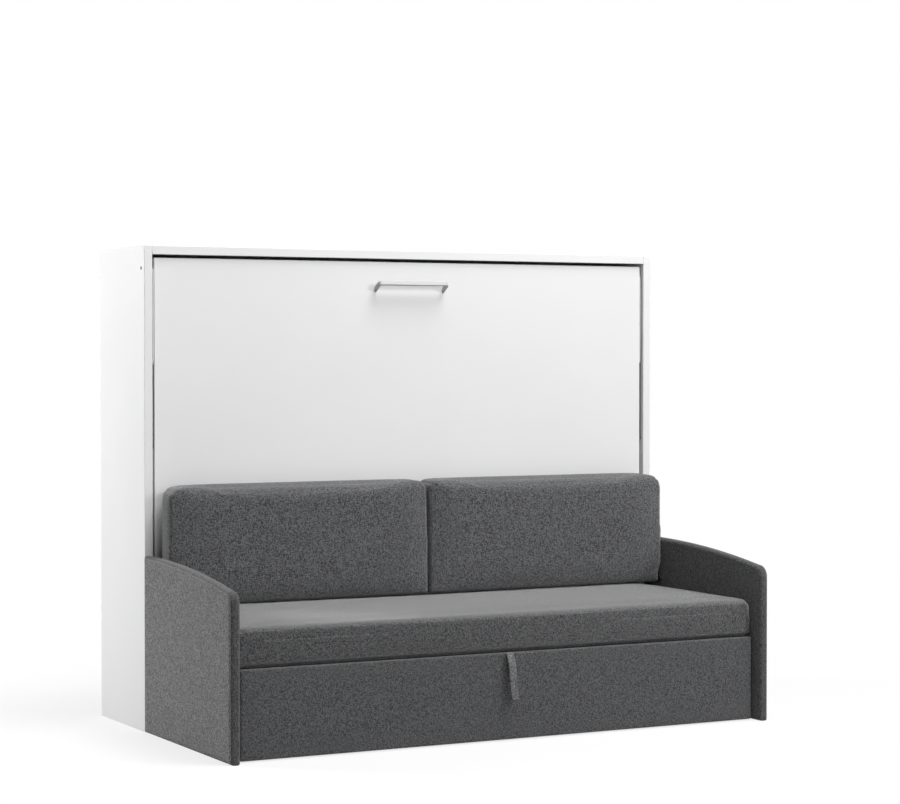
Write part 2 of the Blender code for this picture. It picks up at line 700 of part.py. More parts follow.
# Backrest: a board on two brackets, whose pins turn in the arms, with two cushions.
# Above the brackets the board is narrower, so that the cushions hide its ends.
pin_place = (BACKREST_PIVOT.y, BACKREST_PIVOT.z)
board_front = CUSHION_REAR + TOUCH
board_low = BACKREST_PIVOT.z - BACK_PIN_INSET + BACK_LIFT
board_high = CUSHION_LOW + BACK_CUSHION_HEIGHT - BACK_BOARD_DROP
board_half = BACKREST_BRACKET_IN - TOUCH
bracket_top = board_low + BACK_BRACKET_TALL
board = block(
    "backrest_board",
    (-board_half, board_front, board_low),
    (board_half, BACKREST_REAR, board_high),
    BLACK_BOARD,
    DOOR_EDGE,
    BACKREST_AXIS,
)
for side, sign in SIDES:
    notch_code = bmesh.new()
    near, far = across_pair(sign, CUSHION_HALF - BACK_BOARD_NOTCH, BACKREST_BRACKET_OUT)
    notch_low = (near, board_front - TOUCH, bracket_top)
    add_box(notch_code, notch_low, (far, BACKREST_REAR + TOUCH, board_high + TOUCH))
    joined(board, new_object("notch", notch_code, BLACK_BOARD, BACKREST_AXIS), "DIFFERENCE")
    bracket_code = bmesh.new()
    foot_top = board_low + BACK_BRACKET_WIDTH
    bracket_outline = round_points(pin_place, BACK_PIN_INSET, BEND_STEPS * 2, math.pi / 2, math.pi)
    bracket_outline += [(BACKREST_REAR, pin_place[1] - BACK_PIN_INSET), (BACKREST_REAR, bracket_top)]
    bracket_outline += [(board_front, bracket_top), (board_front, foot_top + BACK_PIN_INSET)]
    bracket_outline += [(board_front - BACK_PIN_INSET, foot_top)]
    near, far = across_pair(sign, BACKREST_BRACKET_IN, BACKREST_BRACKET_OUT)
    add_plate(bracket_code, bracket_outline, [], near, far)
    bracket = new_object(f"backrest_bracket_{side}", bracket_code, DARK_STEEL, BACKREST_AXIS)
    pin_code = bmesh.new()
    pin_start = BACKREST_BRACKET_IN + BACK_BRACKET_THICK / 2
    pin_end = BACK_PIN_LONG + BACK_BRACKET_THICK / 2
    pin_profile = [(0, 0), (BACK_PIN_RADIUS, 0), (BACK_PIN_RADIUS, pin_end), (0, pin_end)]
    add_turned(pin_code, pin_profile, at_side(BACKREST_PIVOT, sign * pin_start), (sign, 0, 0))
    joined(bracket, new_object("pin", pin_code, DARK_STEEL, BACKREST_AXIS))
    near, far = across_pair(sign, BACK_CUSHION_GAP / 2, CUSHION_HALF)
    soft_body(
        f"back_cushion_{side}",
        (near, BACKREST_FACE, CUSHION_LOW),
        (far, CUSHION_REAR, CUSHION_LOW + BACK_CUSHION_HEIGHT),
        CHARCOAL,
        BACK_CUSHION_CORNER,
        BACK_CUSHION_CROWN,
        BACK_CUSHION_DRAW,
        1,
        (8, 2, 4),
        BACKREST_AXIS,
    )

# Bed: the door, a frame of steel tube behind it, sprung slats and the mattress
block(
    "door_panel",
    (-DOOR_HALF, DOOR_FACE, DOOR_BOTTOM),
    (DOOR_HALF, DOOR_INSIDE, DOOR_TOP),
    MELAMINE,
    DOOR_EDGE,
    BED_AXIS,
)


def tube(name, low, high, along):
    """A length of rectangular steel tube, open at both ends, along one axis."""
    mesh_code = bmesh.new()
    low, high = Vector(low), Vector(high)
    first, second = [axis for axis in range(3) if axis != along]
    loops = []
    for inset, ends in ((0.0, (low[along], high[along])), (FRAME_TUBE_WALL, (high[along], low[along]))):
        for end in ends:
            loop = []
            for place_first, place_second in ((0, 0), (1, 0), (1, 1), (0, 1)):
                point = Vector((0, 0, 0))
                point[along] = end
                point[first] = (low[first] + inset, high[first] - inset)[place_first]
                point[second] = (low[second] + inset, high[second] - inset)[place_second]
                loop.append(mesh_code.verts.new(point))
            loops.append(loop)
    for here, there in zip(loops, loops[1:] + loops[:1]):
        for corner in range(4):
            after = (corner + 1) % 4
            mesh_code.faces.new((here[corner], here[after], there[after], there[corner]))
    return new_object(name, mesh_code, FRAME_STEEL, BED_AXIS)


end_in = FRAME_HALF - FRAME_TUBE_WIDE
for side, sign in SIDES:
    near, far = across_pair(sign, end_in, FRAME_HALF)
    end_tube = tube(f"frame_end_{side}", (near, FRAME_FRONT, FRAME_LOW), (far, FRAME_REAR, FRAME_HIGH), 2)
    stud_start = FRAME_HALF - FRAME_TUBE_WALL / 2
    collar_end = LEG_BAR_IN - TOUCH - stud_start
    stud_end = LEG_EXTENSION_OUT - TOUCH - stud_start
    leg_stud_profile = [
        (0, 0),
        (LEG_COLLAR_RADIUS, 0),
        (LEG_COLLAR_RADIUS, collar_end),
        (LEG_STUD_RADIUS, collar_end),
        (LEG_STUD_RADIUS, stud_end),
        (0, stud_end),
    ]
    leg_stud_code = bmesh.new()
    add_turned(leg_stud_code, leg_stud_profile, at_side(LEG_PIVOT, sign * stud_start), (sign, 0, 0))
    joined(end_tube, new_object("leg_stud", leg_stud_code, FRAME_STEEL, BED_AXIS))
rail_half = end_in - TOUCH
lower_rail_top = FRAME_LOW + FRAME_TUBE_WIDE
upper_rail_low = FRAME_HIGH - FRAME_TUBE_WIDE
tube("frame_rail_lower", (-rail_half, FRAME_FRONT, FRAME_LOW), (rail_half, FRAME_REAR, lower_rail_top), 0)
tube("frame_rail_upper", (-rail_half, FRAME_FRONT, upper_rail_low), (rail_half, FRAME_REAR, FRAME_HIGH), 0)
tube(
    "frame_middle_bar",
    (-FRAME_TUBE_WIDE / 2, FRAME_FRONT, lower_rail_top + TOUCH),
    (FRAME_TUBE_WIDE / 2, FRAME_REAR, upper_rail_low - TOUCH),
    2,
)

# Lever plates at the ends of the frame, which turn on the pins and reach down to the struts
lever_foot = (STRUT_FOOT.y, STRUT_FOOT.z)
for side, sign in SIDES:
    lever_points = round_points((PIVOT.y, PIVOT.z), LEVER_BOSS, TURN_STEPS)
    lever_points += round_points(lever_foot, LEVER_TIP, TURN_STEPS)
    lever_top = PIVOT.z + LEVER_TALL
    lever_front = FRAME_FRONT + LEG_BAR_THICK
    lever_points += round_points((lever_front + LEVER_TIP, lever_top - LEVER_TIP), LEVER_TIP, TURN_STEPS)
    lever_points += [(lever_front, PIVOT.z), (FRAME_REAR, lever_top - LEVER_TIP)]
    bore = round_points((PIVOT.y, PIVOT.z), PIN_RADIUS + BORE_PLAY, FINE_TURN_STEPS)
    lever_code = bmesh.new()
    add_plate(lever_code, hull_outline(lever_points), [bore], *across_pair(sign, LEVER_IN, LEVER_OUT))
    lever = new_object(f"lever_plate_{side}", lever_code, PLATED, BED_AXIS)
    stud_start = LEVER_IN + LEVER_THICK / 2
    stud_long = STRUT_MIDDLE - STRUT_EYE_THICK / 2 - OPEN_PIVOT_GAP - stud_start
    stud_code = bmesh.new()
    stud_profile = [(0, 0), (LEVER_STUD_RADIUS, 0), (LEVER_STUD_RADIUS, stud_long), (0, stud_long)]
    add_turned(stud_code, stud_profile, at_side(STRUT_FOOT, sign * stud_start), (sign, 0, 0))
    joined(lever, new_object("stud", stud_code, PLATED, BED_AXIS))

# Slats: bent strips across the bed, joined to one mat by two tapes that lie on them
slat_code = bmesh.new()
slat_foot = FRAME_REAR + TOUCH
slat_low = lower_rail_top - SLAT_SEAT
slat_high = upper_rail_low + SLAT_SEAT
slat_pitch = 2 * rail_half / SLAT_COUNT


def slat_height(share):
    """How far a slat's middle line lies behind the frame, for a share of its length."""
    return slat_foot + SLAT_THICK / 2 + SLAT_RISE * 4 * share * (1 - share)


for number in range(SLAT_COUNT):
    middle = -rail_half + slat_pitch * (number + 1 / 2)
    shares = [step / SLAT_STEPS for step in range(SLAT_STEPS + 1)]
    path = [(slat_height(share), slat_low + (slat_high - slat_low) * share) for share in shares]
    add_strip(slat_code, path, [SLAT_THICK] * len(path), middle - SLAT_WIDE / 2, middle + SLAT_WIDE / 2)
slat_mat = new_object("slat_mat", slat_code, BEECH, BED_AXIS, smooth=True)
for share in (TAPE_PLACE_SHARE, 1 - TAPE_PLACE_SHARE):
    tape_code = bmesh.new()
    tape_middle = slat_low + (slat_high - slat_low) * share
    tape_front = slat_height(share) - SLAT_THICK / 2 - TAPE_PROUD
    tape_rear = slat_height(share)
    tape_half = rail_half - (slat_pitch - SLAT_WIDE) / 2 - TAPE_END
    tape_low = (-tape_half, tape_front, tape_middle - TAPE_WIDE / 2)
    add_box(tape_code, tape_low, (tape_half, tape_rear, tape_middle + TAPE_WIDE / 2))
    joined(slat_mat, new_object("tape", tape_code, BEECH, BED_AXIS))

mattress_front = slat_foot + SLAT_THICK + SLAT_RISE + TOUCH
mattress_rear = mattress_front + MATTRESS_THICK
mattress_low = FRAME_LOW + MATTRESS_INSET
mattress_high = FRAME_HIGH - MATTRESS_INSET
mattress_half = FRAME_HALF - MATTRESS_END_INSET
soft_body(
    "mattress",
    (-mattress_half, mattress_front, mattress_low),
    (mattress_half, mattress_rear, mattress_high),
    TICKING,
    MATTRESS_CORNER,
    MATTRESS_CROWN,
    MATTRESS_DRAW,
    1,
    (8, 2, 6),
    BED_AXIS,
)

quarter_turn = math.pi / 2


# Handle: one strip of metal bent to a flat U, tilted so that its feet slope down to the door
def handle_piece():
    """Carries the strip's section along a U of two feet and a bar, then cuts the feet at the door's face."""
    mesh_code = bmesh.new()
    foot_line = Vector((0, math.cos(HANDLE_TILT), -math.sin(HANDLE_TILT)))
    wide_line = Vector((0, math.sin(HANDLE_TILT), math.cos(HANDLE_TILT)))
    front = Vector((0, DOOR_FACE - HANDLE_REACH, DOOR_TOP - HANDLE_DROP))
    bar_half = (HANDLE_LENGTH - HANDLE_THICK) / 2
    flat = [(-bar_half, HANDLE_REACH)]
    for step in range(BEND_STEPS + 1):
        angle = quarter_turn * step / BEND_STEPS
        flat.append((-bar_half + HANDLE_BEND * (1 - math.cos(angle)), HANDLE_BEND * (1 - math.sin(angle))))
    flat += [(-x, depth) for x, depth in flat[::-1]]
    rings = []
    for place, (x, depth) in enumerate(flat):
        before = flat[max(place - 1, 0)]
        after = flat[min(place + 1, len(flat) - 1)]
        along = Vector((after[0] - before[0], after[1] - before[1])).normalized()
        ring = []
        for across, tall in ((-1, -1), (1, -1), (1, 1), (-1, 1)):
            side_x = x - across * along.y * HANDLE_THICK / 2
            side_depth = depth + across * along.x * HANDLE_THICK / 2
            raised = wide_line * (tall * HANDLE_WIDE / 2)
            ring.append(front + Vector((side_x, 0, 0)) + foot_line * side_depth + raised)
        rings.append(ring)
    for ring in (rings[0], rings[-1]):
        for corner, point in enumerate(ring):
            ring[corner] = point + foot_line * ((DOOR_FACE - TOUCH - point.y) / foot_line.y)
    rows = [[mesh_code.verts.new(point) for point in ring] for ring in rings]
    for first, second in zip(rows, rows[1:]):
        for corner in range(4):
            after = (corner + 1) % 4
            mesh_code.faces.new((first[corner], first[after], second[after], second[corner]))
    mesh_code.faces.new(rows[0])
    mesh_code.faces.new(rows[-1])
    new_object("door_handle", mesh_code, BRUSHED, BED_AXIS, smooth=True)


handle_piece()

# Legs: a white bar in each side gap, lengthened by a dark extension with a rubber foot
bar_front = FRONT + LEG_FRONT
bar_rear = bar_front + LEG_BAR_WIDE
bar_low = LEG_TOP - LEG_BAR_LONG
extension_front = (bar_front + bar_rear - LEG_EXTENSION_WIDE) / 2
extension_rear = extension_front + LEG_EXTENSION_WIDE
foot_low = LEG_FOOT + LEG_FOOT_WALL
for side, sign in SIDES:
    leg_axis = joint_empty(f"leg_axis_{side}", at_side(LEG_PIVOT, sign * LEG_BAR_IN))
    bar_code = bmesh.new()
    bar_outline = rounded_rectangle((bar_front, bar_low), (bar_rear, LEG_TOP), LEG_PIVOT_DROP)
    leg_hole = round_points((LEG_PIVOT.y, LEG_PIVOT.z), LEG_STUD_RADIUS + BORE_PLAY, TURN_STEPS)
    bolt_middle = (bar_front + bar_rear) / 2
    bolt_heights = (bar_low + LEG_BOLT_MARGIN, bar_low + LEG_OVERLAP - LEG_BOLT_MARGIN)
    bolt_radius = LEG_BOLT_RADIUS + BORE_PLAY
    holes = [leg_hole]
    holes += [round_points((bolt_middle, height), bolt_radius, TURN_STEPS) for height in bolt_heights]
    add_plate(bar_code, bar_outline, holes, *across_pair(sign, LEG_BAR_IN, LEG_BAR_OUT))
    new_object(f"leg_bar_{side}", bar_code, WHITE_STEEL, leg_axis)
    extension_code = bmesh.new()
    extension_outline = rounded_rectangle(
        (extension_front, foot_low), (extension_rear, bar_low + LEG_OVERLAP), LEG_BOLT_RADIUS
    )
    add_plate(extension_code, extension_outline, [], *across_pair(sign, LEG_EXTENSION_IN, LEG_EXTENSION_OUT))
    extension = new_object(f"leg_extension_{side}", extension_code, DARK_STEEL, leg_axis)
    for height in bolt_heights:
        bolt_code = bmesh.new()
        bolt_from = LEG_BAR_IN
        bolt_long = LEG_EXTENSION_IN + LEG_BAR_THICK / 2 - bolt_from
        bolt_profile = [(0, 0), (LEG_BOLT_RADIUS, 0), (LEG_BOLT_RADIUS, bolt_long), (0, bolt_long)]
        bolt_place = Vector((sign * bolt_from, bolt_middle, height))
        add_turned(bolt_code, bolt_profile, bolt_place, (sign, 0, 0), TURN_STEPS)
        joined(extension, new_object("bolt", bolt_code, DARK_STEEL, leg_axis))
    foot_code = bmesh.new()
    foot_in, foot_out = LEG_EXTENSION_IN - LEG_FOOT_WALL, LEG_EXTENSION_OUT + LEG_FOOT_WALL
    shoe_front, shoe_rear = extension_front - LEG_FOOT_WALL, extension_rear + LEG_FOOT_WALL
    near, far = across_pair(sign, foot_in - TOUCH, foot_out + TOUCH)
    shoe_top = LEG_FOOT + LEG_FOOT_HIGH
    add_box(foot_code, (near, shoe_front - TOUCH, LEG_FOOT), (far, shoe_rear + TOUCH, shoe_top))
    pocket_code = bmesh.new()
    near, far = across_pair(sign, foot_in + LEG_FOOT_WALL - TOUCH, foot_out - LEG_FOOT_WALL + TOUCH)
    pocket_low = (near, extension_front - TOUCH, foot_low - TOUCH)
    add_box(pocket_code, pocket_low, (far, extension_rear + TOUCH, LEG_FOOT + 2 * LEG_FOOT_HIGH))
    shoe = new_object(f"leg_foot_{side}", foot_code, RUBBER, leg_axis)
    joined(shoe, new_object("pocket", pocket_code, RUBBER, leg_axis), "DIFFERENCE")

# Gas struts: the cylinder hangs from a bracket high in the side, the rod reaches the lever plate
strut_along = STRUT_LINE.normalized()
strut_long = STRUT_LINE.length
open_foot = Vector((0, PIVOT.y + LEVER_REACH, PIVOT.z))
strut_stroke = strut_long - (open_foot - STRUT_TOP).length
for side, sign in SIDES:
    eye_in = STRUT_MIDDLE - STRUT_EYE_THICK / 2
    eye_out = STRUT_MIDDLE + STRUT_EYE_THICK / 2
    plate_in = INNER - TOUCH - STRUT_PLATE_THICK
    bracket_profile = [
        (0, 0),
        (STRUT_STUD_RADIUS, 0),
        (STRUT_STUD_RADIUS, eye_out + RUNNING - eye_in),
        (STRUT_SHOULDER, eye_out + RUNNING - eye_in),
        (STRUT_SHOULDER, plate_in - eye_in),
        (STRUT_PLATE / 2, plate_in - eye_in),
        (STRUT_PLATE / 2, plate_in + STRUT_PLATE_THICK - eye_in),
        (0, plate_in + STRUT_PLATE_THICK - eye_in),
    ]
    bracket_code = bmesh.new()
    add_turned(bracket_code, bracket_profile, at_side(STRUT_TOP, sign * eye_in), (sign, 0, 0))
    new_object(f"strut_bracket_{side}", bracket_code, PLATED, smooth=True)

    strut_axis = joint_empty(f"strut_axis_{side}", at_side(STRUT_TOP, sign * STRUT_MIDDLE))
    near, far = across_pair(sign, eye_in, eye_out)
    for piece, middle, finish in (("cylinder", STRUT_TOP, DARK_STEEL), ("rod", STRUT_FOOT, PLATED)):
        eye_code = bmesh.new()
        eye_outline = round_points((middle.y, middle.z), STRUT_EYE_RADIUS, TURN_STEPS)
        eye_hole = round_points((middle.y, middle.z), STRUT_STUD_RADIUS + BORE_PLAY, TURN_STEPS)
        add_plate(eye_code, eye_outline, [eye_hole], near, far)
        eye = new_object(f"strut_{piece}_{side}", eye_code, finish, strut_axis)
        shaft_code = bmesh.new()
        if piece == "cylinder":
            tube_end = STRUT_TUBE_START + STRUT_TUBE_LONG
            shaft_profile = [
                (0, STRUT_NECK_START),
                (STRUT_NECK, STRUT_NECK_START),
                (STRUT_NECK, STRUT_TUBE_START),
                (STRUT_RADIUS, STRUT_TUBE_START),
                (STRUT_RADIUS, tube_end),
                (STRUT_ROD + BORE_PLAY, tube_end),
                (STRUT_ROD + BORE_PLAY, tube_end - STRUT_GLAND),
                (STRUT_BORE, tube_end - STRUT_GLAND),
                (STRUT_BORE, STRUT_TUBE_START + STRUT_END_WALL),
                (0, STRUT_TUBE_START + STRUT_END_WALL),
            ]
        else:
            piston_start = STRUT_TUBE_START + STRUT_END_WALL + STRUT_PISTON_INSET + strut_stroke
            piston_end = piston_start + STRUT_PISTON_LONG
            rod_end = strut_long - STRUT_NECK_START
            piston_radius = STRUT_BORE - BORE_PLAY
            shaft_profile = [
                (0, piston_start),
                (piston_radius, piston_start),
                (piston_radius, piston_end),
                (STRUT_ROD, piston_end),
                (STRUT_ROD, rod_end),
                (0, rod_end),
            ]
        add_turned(shaft_code, shaft_profile, at_side(STRUT_TOP, sign * STRUT_MIDDLE), strut_along)
        joined(eye, new_object("shaft", shaft_code, finish, strut_axis))
        eye.data.shade_smooth()
        eye.data.set_sharp_from_angle(angle=SHARP_ANGLE)

# Drawer: an upholstered front and a shallow box that rolls on castors
panel_half = INNER - DRAWER_END_GAP
panel_top = SEAT_UNDER - DRAWER_SEAM
front_code = bmesh.new()
front_low = (-panel_half, PANEL_FACE, DRAWER_FLOOR_GAP)
add_box(front_code, front_low, (panel_half, PANEL_REAR, panel_top))
front_lines = [line for line in front_code.edges if all(end.co.y < PANEL_FACE + TOUCH for end in line.verts)]
bmesh.ops.bevel(
    front_code,
    geom=front_lines,
    offset=DRAWER_FRONT_SOFT,
    segments=3,
    profile=0.5,
    affect="EDGES",
)
new_object("drawer_front", front_code, CHARCOAL, DRAWER_RUN, smooth=True)

box_front = PANEL_REAR + TOUCH
box_rear = PANEL_FACE + DRAWER_TRAVEL + DRAWER_KEPT
box_half = INNER - DRAWER_SIDE_INSET
box_inner = box_half - DRAWER_SIDE_THICK
for side, sign in SIDES:
    near, far = across_pair(sign, box_inner, box_half)
    block(
        f"drawer_side_{side}",
        (near, box_front, DRAWER_BOX_LOW),
        (far, box_rear, DRAWER_BOX_HIGH),
        MELAMINE,
        DOOR_EDGE,
        DRAWER_RUN,
    )
inside_half = box_inner - TOUCH
back_front = box_rear - DRAWER_SIDE_THICK
block(
    "drawer_back",
    (-inside_half, back_front, DRAWER_BOX_LOW),
    (inside_half, box_rear, DRAWER_BOX_HIGH),
    MELAMINE,
    DOOR_EDGE,
    DRAWER_RUN,
)
bottom_top = DRAWER_BOX_LOW + DRAWER_BOTTOM_THICK
block(
    "drawer_bottom",
    (-inside_half, box_front, DRAWER_BOX_LOW),
    (inside_half, back_front - TOUCH, bottom_top),
    MELAMINE,
    0.0,
    DRAWER_RUN,
)

block(
    "drawer_divider",
    (-DRAWER_SIDE_THICK / 2, box_front, bottom_top + TOUCH),
    (DRAWER_SIDE_THICK / 2, back_front - TOUCH, DRAWER_BOX_HIGH),
    MELAMINE,
    DOOR_EDGE,
    DRAWER_RUN,
)

# Castors: a fork with its axle under each corner of the drawer, and a wheel that turns on it
castor_height = CASTOR_RADIUS + TOUCH
fork_top = DRAWER_BOX_LOW - TOUCH
fork_low = castor_height - CASTOR_AXLE_RADIUS * 2
fork_half = CASTOR_WIDE / 2 + RUNNING / 2
castor_rows = (
    ("front", box_front + CASTOR_FRONT_INSET),
    ("rear", box_rear - CASTOR_REAR_INSET),
)
for row, depth in castor_rows:
    roll_axis = joint_empty(f"castor_axis_{row}", (0, depth, castor_height))
    for side, sign in SIDES:
        middle = sign * (box_half - CASTOR_END_INSET)
        wheel_code = bmesh.new()
        wheel_bore = CASTOR_AXLE_RADIUS + BORE_PLAY
        wheel_profile = [
            (wheel_bore, 0),
            (CASTOR_RADIUS - CASTOR_CROWN, 0),
            (CASTOR_RADIUS, CASTOR_CROWN),
            (CASTOR_RADIUS, CASTOR_WIDE - CASTOR_CROWN),
            (CASTOR_RADIUS - CASTOR_CROWN, CASTOR_WIDE),
            (wheel_bore, CASTOR_WIDE),
        ]
        wheel_start = (middle - CASTOR_WIDE / 2, depth, castor_height)
        add_turned(wheel_code, wheel_profile, wheel_start, (1, 0, 0))
        new_object(f"castor_wheel_{row}_{side}", wheel_code, RUBBER, roll_axis, smooth=True)
        fork_outer = fork_half + CASTOR_FORK_WALL
        ledge = fork_top - CASTOR_FORK_WALL
        section = [
            (middle - fork_outer, fork_low),
            (middle - fork_half, fork_low),
            (middle - fork_half, ledge),
            (middle + fork_half, ledge),
            (middle + fork_half, fork_low),
            (middle + fork_outer, fork_low),
            (middle + fork_outer, fork_top),
            (middle - fork_outer, fork_top),
        ]
        fork_code = bmesh.new()
        ends = []
        for end in (depth - CASTOR_FORK_DEEP / 2, depth + CASTOR_FORK_DEEP / 2):
            ends.append([fork_code.verts.new((x, end, z)) for x, z in section])
            fork_code.faces.new(ends[-1])
        for corner in range(len(section)):
            after = (corner + 1) % len(section)
            fork_code.faces.new((ends[0][corner], ends[0][after], ends[1][after], ends[1][corner]))
        fork = new_object(f"castor_fork_{row}_{side}", fork_code, DARK_STEEL, DRAWER_RUN)
        axle_code = bmesh.new()
        axle_half = fork_half + CASTOR_FORK_WALL / 2
        axle_long = 2 * axle_half
        axle_profile = [(0, 0), (CASTOR_AXLE_RADIUS, 0), (CASTOR_AXLE_RADIUS, axle_long), (0, axle_long)]
        add_turned(axle_code, axle_profile, (middle - axle_half, depth, castor_height), (1, 0, 0))
        joined(fork, new_object("axle", axle_code, DARK_STEEL, DRAWER_RUN))


# Pull strap: a folded band of the cover cloth, fixed on top of the drawer's front
def pull_strap():
    """Lies on the panel's top edge, turns over it, bows forward and hangs down with a thicker end."""
    level = panel_top + TOUCH + PULL_THIN / 2
    lip = PANEL_FACE - PULL_THIN
    path = [(PANEL_REAR, level), ((PANEL_REAR + lip) / 2, level), (lip, level)]
    thicknesses = [PULL_THIN] * len(path)
    out = lip - PULL_BOW + PULL_THICK / 2
    for step in range(1, PULL_STEPS + 1):
        share = step / PULL_STEPS
        turned = quarter_turn * min(share / PULL_BOW_SHARE, 1)
        swell = math.sin(turned)
        drop = share * (1 - PULL_BOW_SHARE) + (1 - math.cos(turned)) * PULL_BOW_SHARE
        path.append((lip + (out - lip) * swell, level - PULL_LONG * drop))
        thicknesses.append(PULL_THIN + (PULL_THICK - PULL_THIN) * swell)
    mesh_code = bmesh.new()
    add_strip(mesh_code, path, thicknesses, PULL_SIDE - PULL_WIDE / 2, PULL_SIDE + PULL_WIDE / 2)
    new_object("pull_strap", mesh_code, STRAP_CLOTH, DRAWER_RUN, smooth=True)


pull_strap()
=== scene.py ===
import math

import bmesh
import bpy
import numpy as np
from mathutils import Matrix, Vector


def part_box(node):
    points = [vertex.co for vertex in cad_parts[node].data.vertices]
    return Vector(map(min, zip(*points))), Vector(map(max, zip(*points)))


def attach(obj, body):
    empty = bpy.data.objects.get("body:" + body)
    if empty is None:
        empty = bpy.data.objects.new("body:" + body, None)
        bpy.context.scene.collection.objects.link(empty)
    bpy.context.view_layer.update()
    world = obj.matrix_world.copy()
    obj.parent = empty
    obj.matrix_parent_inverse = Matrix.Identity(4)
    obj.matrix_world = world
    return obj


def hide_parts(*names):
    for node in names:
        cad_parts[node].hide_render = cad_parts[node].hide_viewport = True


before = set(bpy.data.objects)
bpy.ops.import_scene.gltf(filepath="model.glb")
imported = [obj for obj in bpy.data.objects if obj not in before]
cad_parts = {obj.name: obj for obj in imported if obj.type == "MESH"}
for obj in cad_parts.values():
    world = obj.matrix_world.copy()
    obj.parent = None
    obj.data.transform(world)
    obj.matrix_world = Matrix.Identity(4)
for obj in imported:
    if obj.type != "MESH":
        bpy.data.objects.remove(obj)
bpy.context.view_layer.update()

# Cabinet boards: 30 mm chipboard with a white melamine skin of fine orange peel, the door and drawer boards
# among them, and a thin pale hardboard back. They are dowelled and keep the shapes of the solids.
def noisy(name, tones, rough, relief, layers, metallic=0.0, sheen=0.0, fuzz=0.4, spread=0.12):
    """One shader whose colour, roughness and relief follow a sum of stretched noises.

    Each layer is (features to the metre along X, Y and Z, its share of the sum). The sum of shares times
    noise lies about a half. From half less spread to half plus spread the colour goes from the first tone to
    the second, the roughness between its two values, and the surface rises by the relief in metres. Sheen and
    fuzz are the weight and the roughness of a cloth's nap.
    """
    material = bpy.data.materials.new(name)
    material.use_nodes = True
    tree = material.node_tree
    shader = next(node for node in tree.nodes if node.type == "BSDF_PRINCIPLED")
    shader.inputs["Metallic"].default_value = metallic
    shader.inputs["Sheen Weight"].default_value = sheen
    shader.inputs["Sheen Roughness"].default_value = fuzz
    where = tree.nodes.new("ShaderNodeTexCoord")
    total = None
    for scales, share in layers:
        drawn = tree.nodes.new("ShaderNodeMapping")
        drawn.inputs["Scale"].default_value = scales
        noise = tree.nodes.new("ShaderNodeTexNoise")
        noise.inputs["Scale"].default_value = 1
        noise.inputs["Detail"].default_value = 2
        added = tree.nodes.new("ShaderNodeMath")
        added.operation = "MULTIPLY_ADD"
        added.inputs[1].default_value = share
        added.inputs[2].default_value = 0
        tree.links.new(where.outputs["Object"], drawn.inputs["Vector"])
        tree.links.new(drawn.outputs["Vector"], noise.inputs["Vector"])
        tree.links.new(noise.outputs["Fac"], added.inputs[0])
        if total:
            tree.links.new(total, added.inputs[2])
        total = added.outputs["Value"]
    colour = tree.nodes.new("ShaderNodeValToRGB")
    for mark, tone, place in zip(colour.color_ramp.elements, tones, (0.5 - spread, 0.5 + spread)):
        mark.color = (*tone, 1)
        mark.position = place
    tree.links.new(total, colour.inputs["Fac"])
    tree.links.new(colour.outputs["Color"], shader.inputs["Base Color"])
    gloss = tree.nodes.new("ShaderNodeMapRange")
    gloss.inputs["From Min"].default_value = 0.5 - spread
    gloss.inputs["From Max"].default_value = 0.5 + spread
    gloss.inputs["To Min"].default_value = rough[0]
    gloss.inputs["To Max"].default_value = rough[1]
    tree.links.new(total, gloss.inputs["Value"])
    tree.links.new(gloss.outputs["Result"], shader.inputs["Roughness"])
    bump = tree.nodes.new("ShaderNodeBump")
    bump.inputs["Distance"].default_value = relief / spread / 2
    tree.links.new(total, bump.inputs["Height"])
    tree.links.new(bump.outputs["Normal"], shader.inputs["Normal"])
    return material


def dress(material, *names):
    """Gives a finish to the solids of these names."""
    for name in names:
        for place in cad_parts[name].material_slots:
            place.material = material


melamine = noisy(
    "white_melamine",
    tones=[(0.83, 0.83, 0.835), (0.86, 0.86, 0.865)],
    rough=(0.32, 0.42),
    relief=0.00002,
    layers=[((700, 700, 700), 0.7), ((3, 3, 3), 0.3)],
)
hardboard = noisy(
    "hardboard",
    tones=[(0.70, 0.69, 0.67), (0.80, 0.79, 0.77)],
    rough=(0.6, 0.75),
    relief=0.0001,
    layers=[((300, 300, 300), 0.6), ((1200, 1200, 1200), 0.4)],
)
dress(melamine, "side_panel_left", "side_panel_right", "top_board", "base_board", "wall_rail")
dress(melamine, "door_panel", "drawer_back", "drawer_bottom", "drawer_divider", "drawer_side_left")
dress(melamine, "drawer_side_right", "lower_front_panel")
dress(hardboard, "back_board")

# Caps: small plugs of black plastic, one high in each side of the cabinet. Each is pressed into a drilled
# hole, and its face is slightly hollow.
black_plastic = noisy(
    "black_plastic",
    tones=[(0.012, 0.012, 0.012), (0.022, 0.022, 0.022)],
    rough=(0.4, 0.55),
    relief=0.00002,
    layers=[((1500, 1500, 1500), 1)],
)
dress(black_plastic, "side_cap_left", "side_cap_right")

# Pivot plates and strut brackets: zinc-plated steel let into or laid on the cabinet's sides, each held by
# screws with low round heads and a shallow round dip in the middle
def new_piece(name, points, faces, material, body):
    """An object at the origin from an array of points and lists of faces, facing out, riding on a body."""
    mesh = bpy.data.meshes.new(name)
    mesh.from_pydata(np.asarray(points, float).tolist(), [], faces)
    code = bmesh.new()
    code.from_mesh(mesh)
    bmesh.ops.recalc_face_normals(code, faces=code.faces)
    code.to_mesh(mesh)
    code.free()
    mesh.polygons.foreach_set("use_smooth", [True] * len(mesh.polygons))
    mesh.materials.append(material)
    piece = bpy.data.objects.new(name, mesh)
    bpy.context.scene.collection.objects.link(piece)
    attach(piece, body)
    return piece


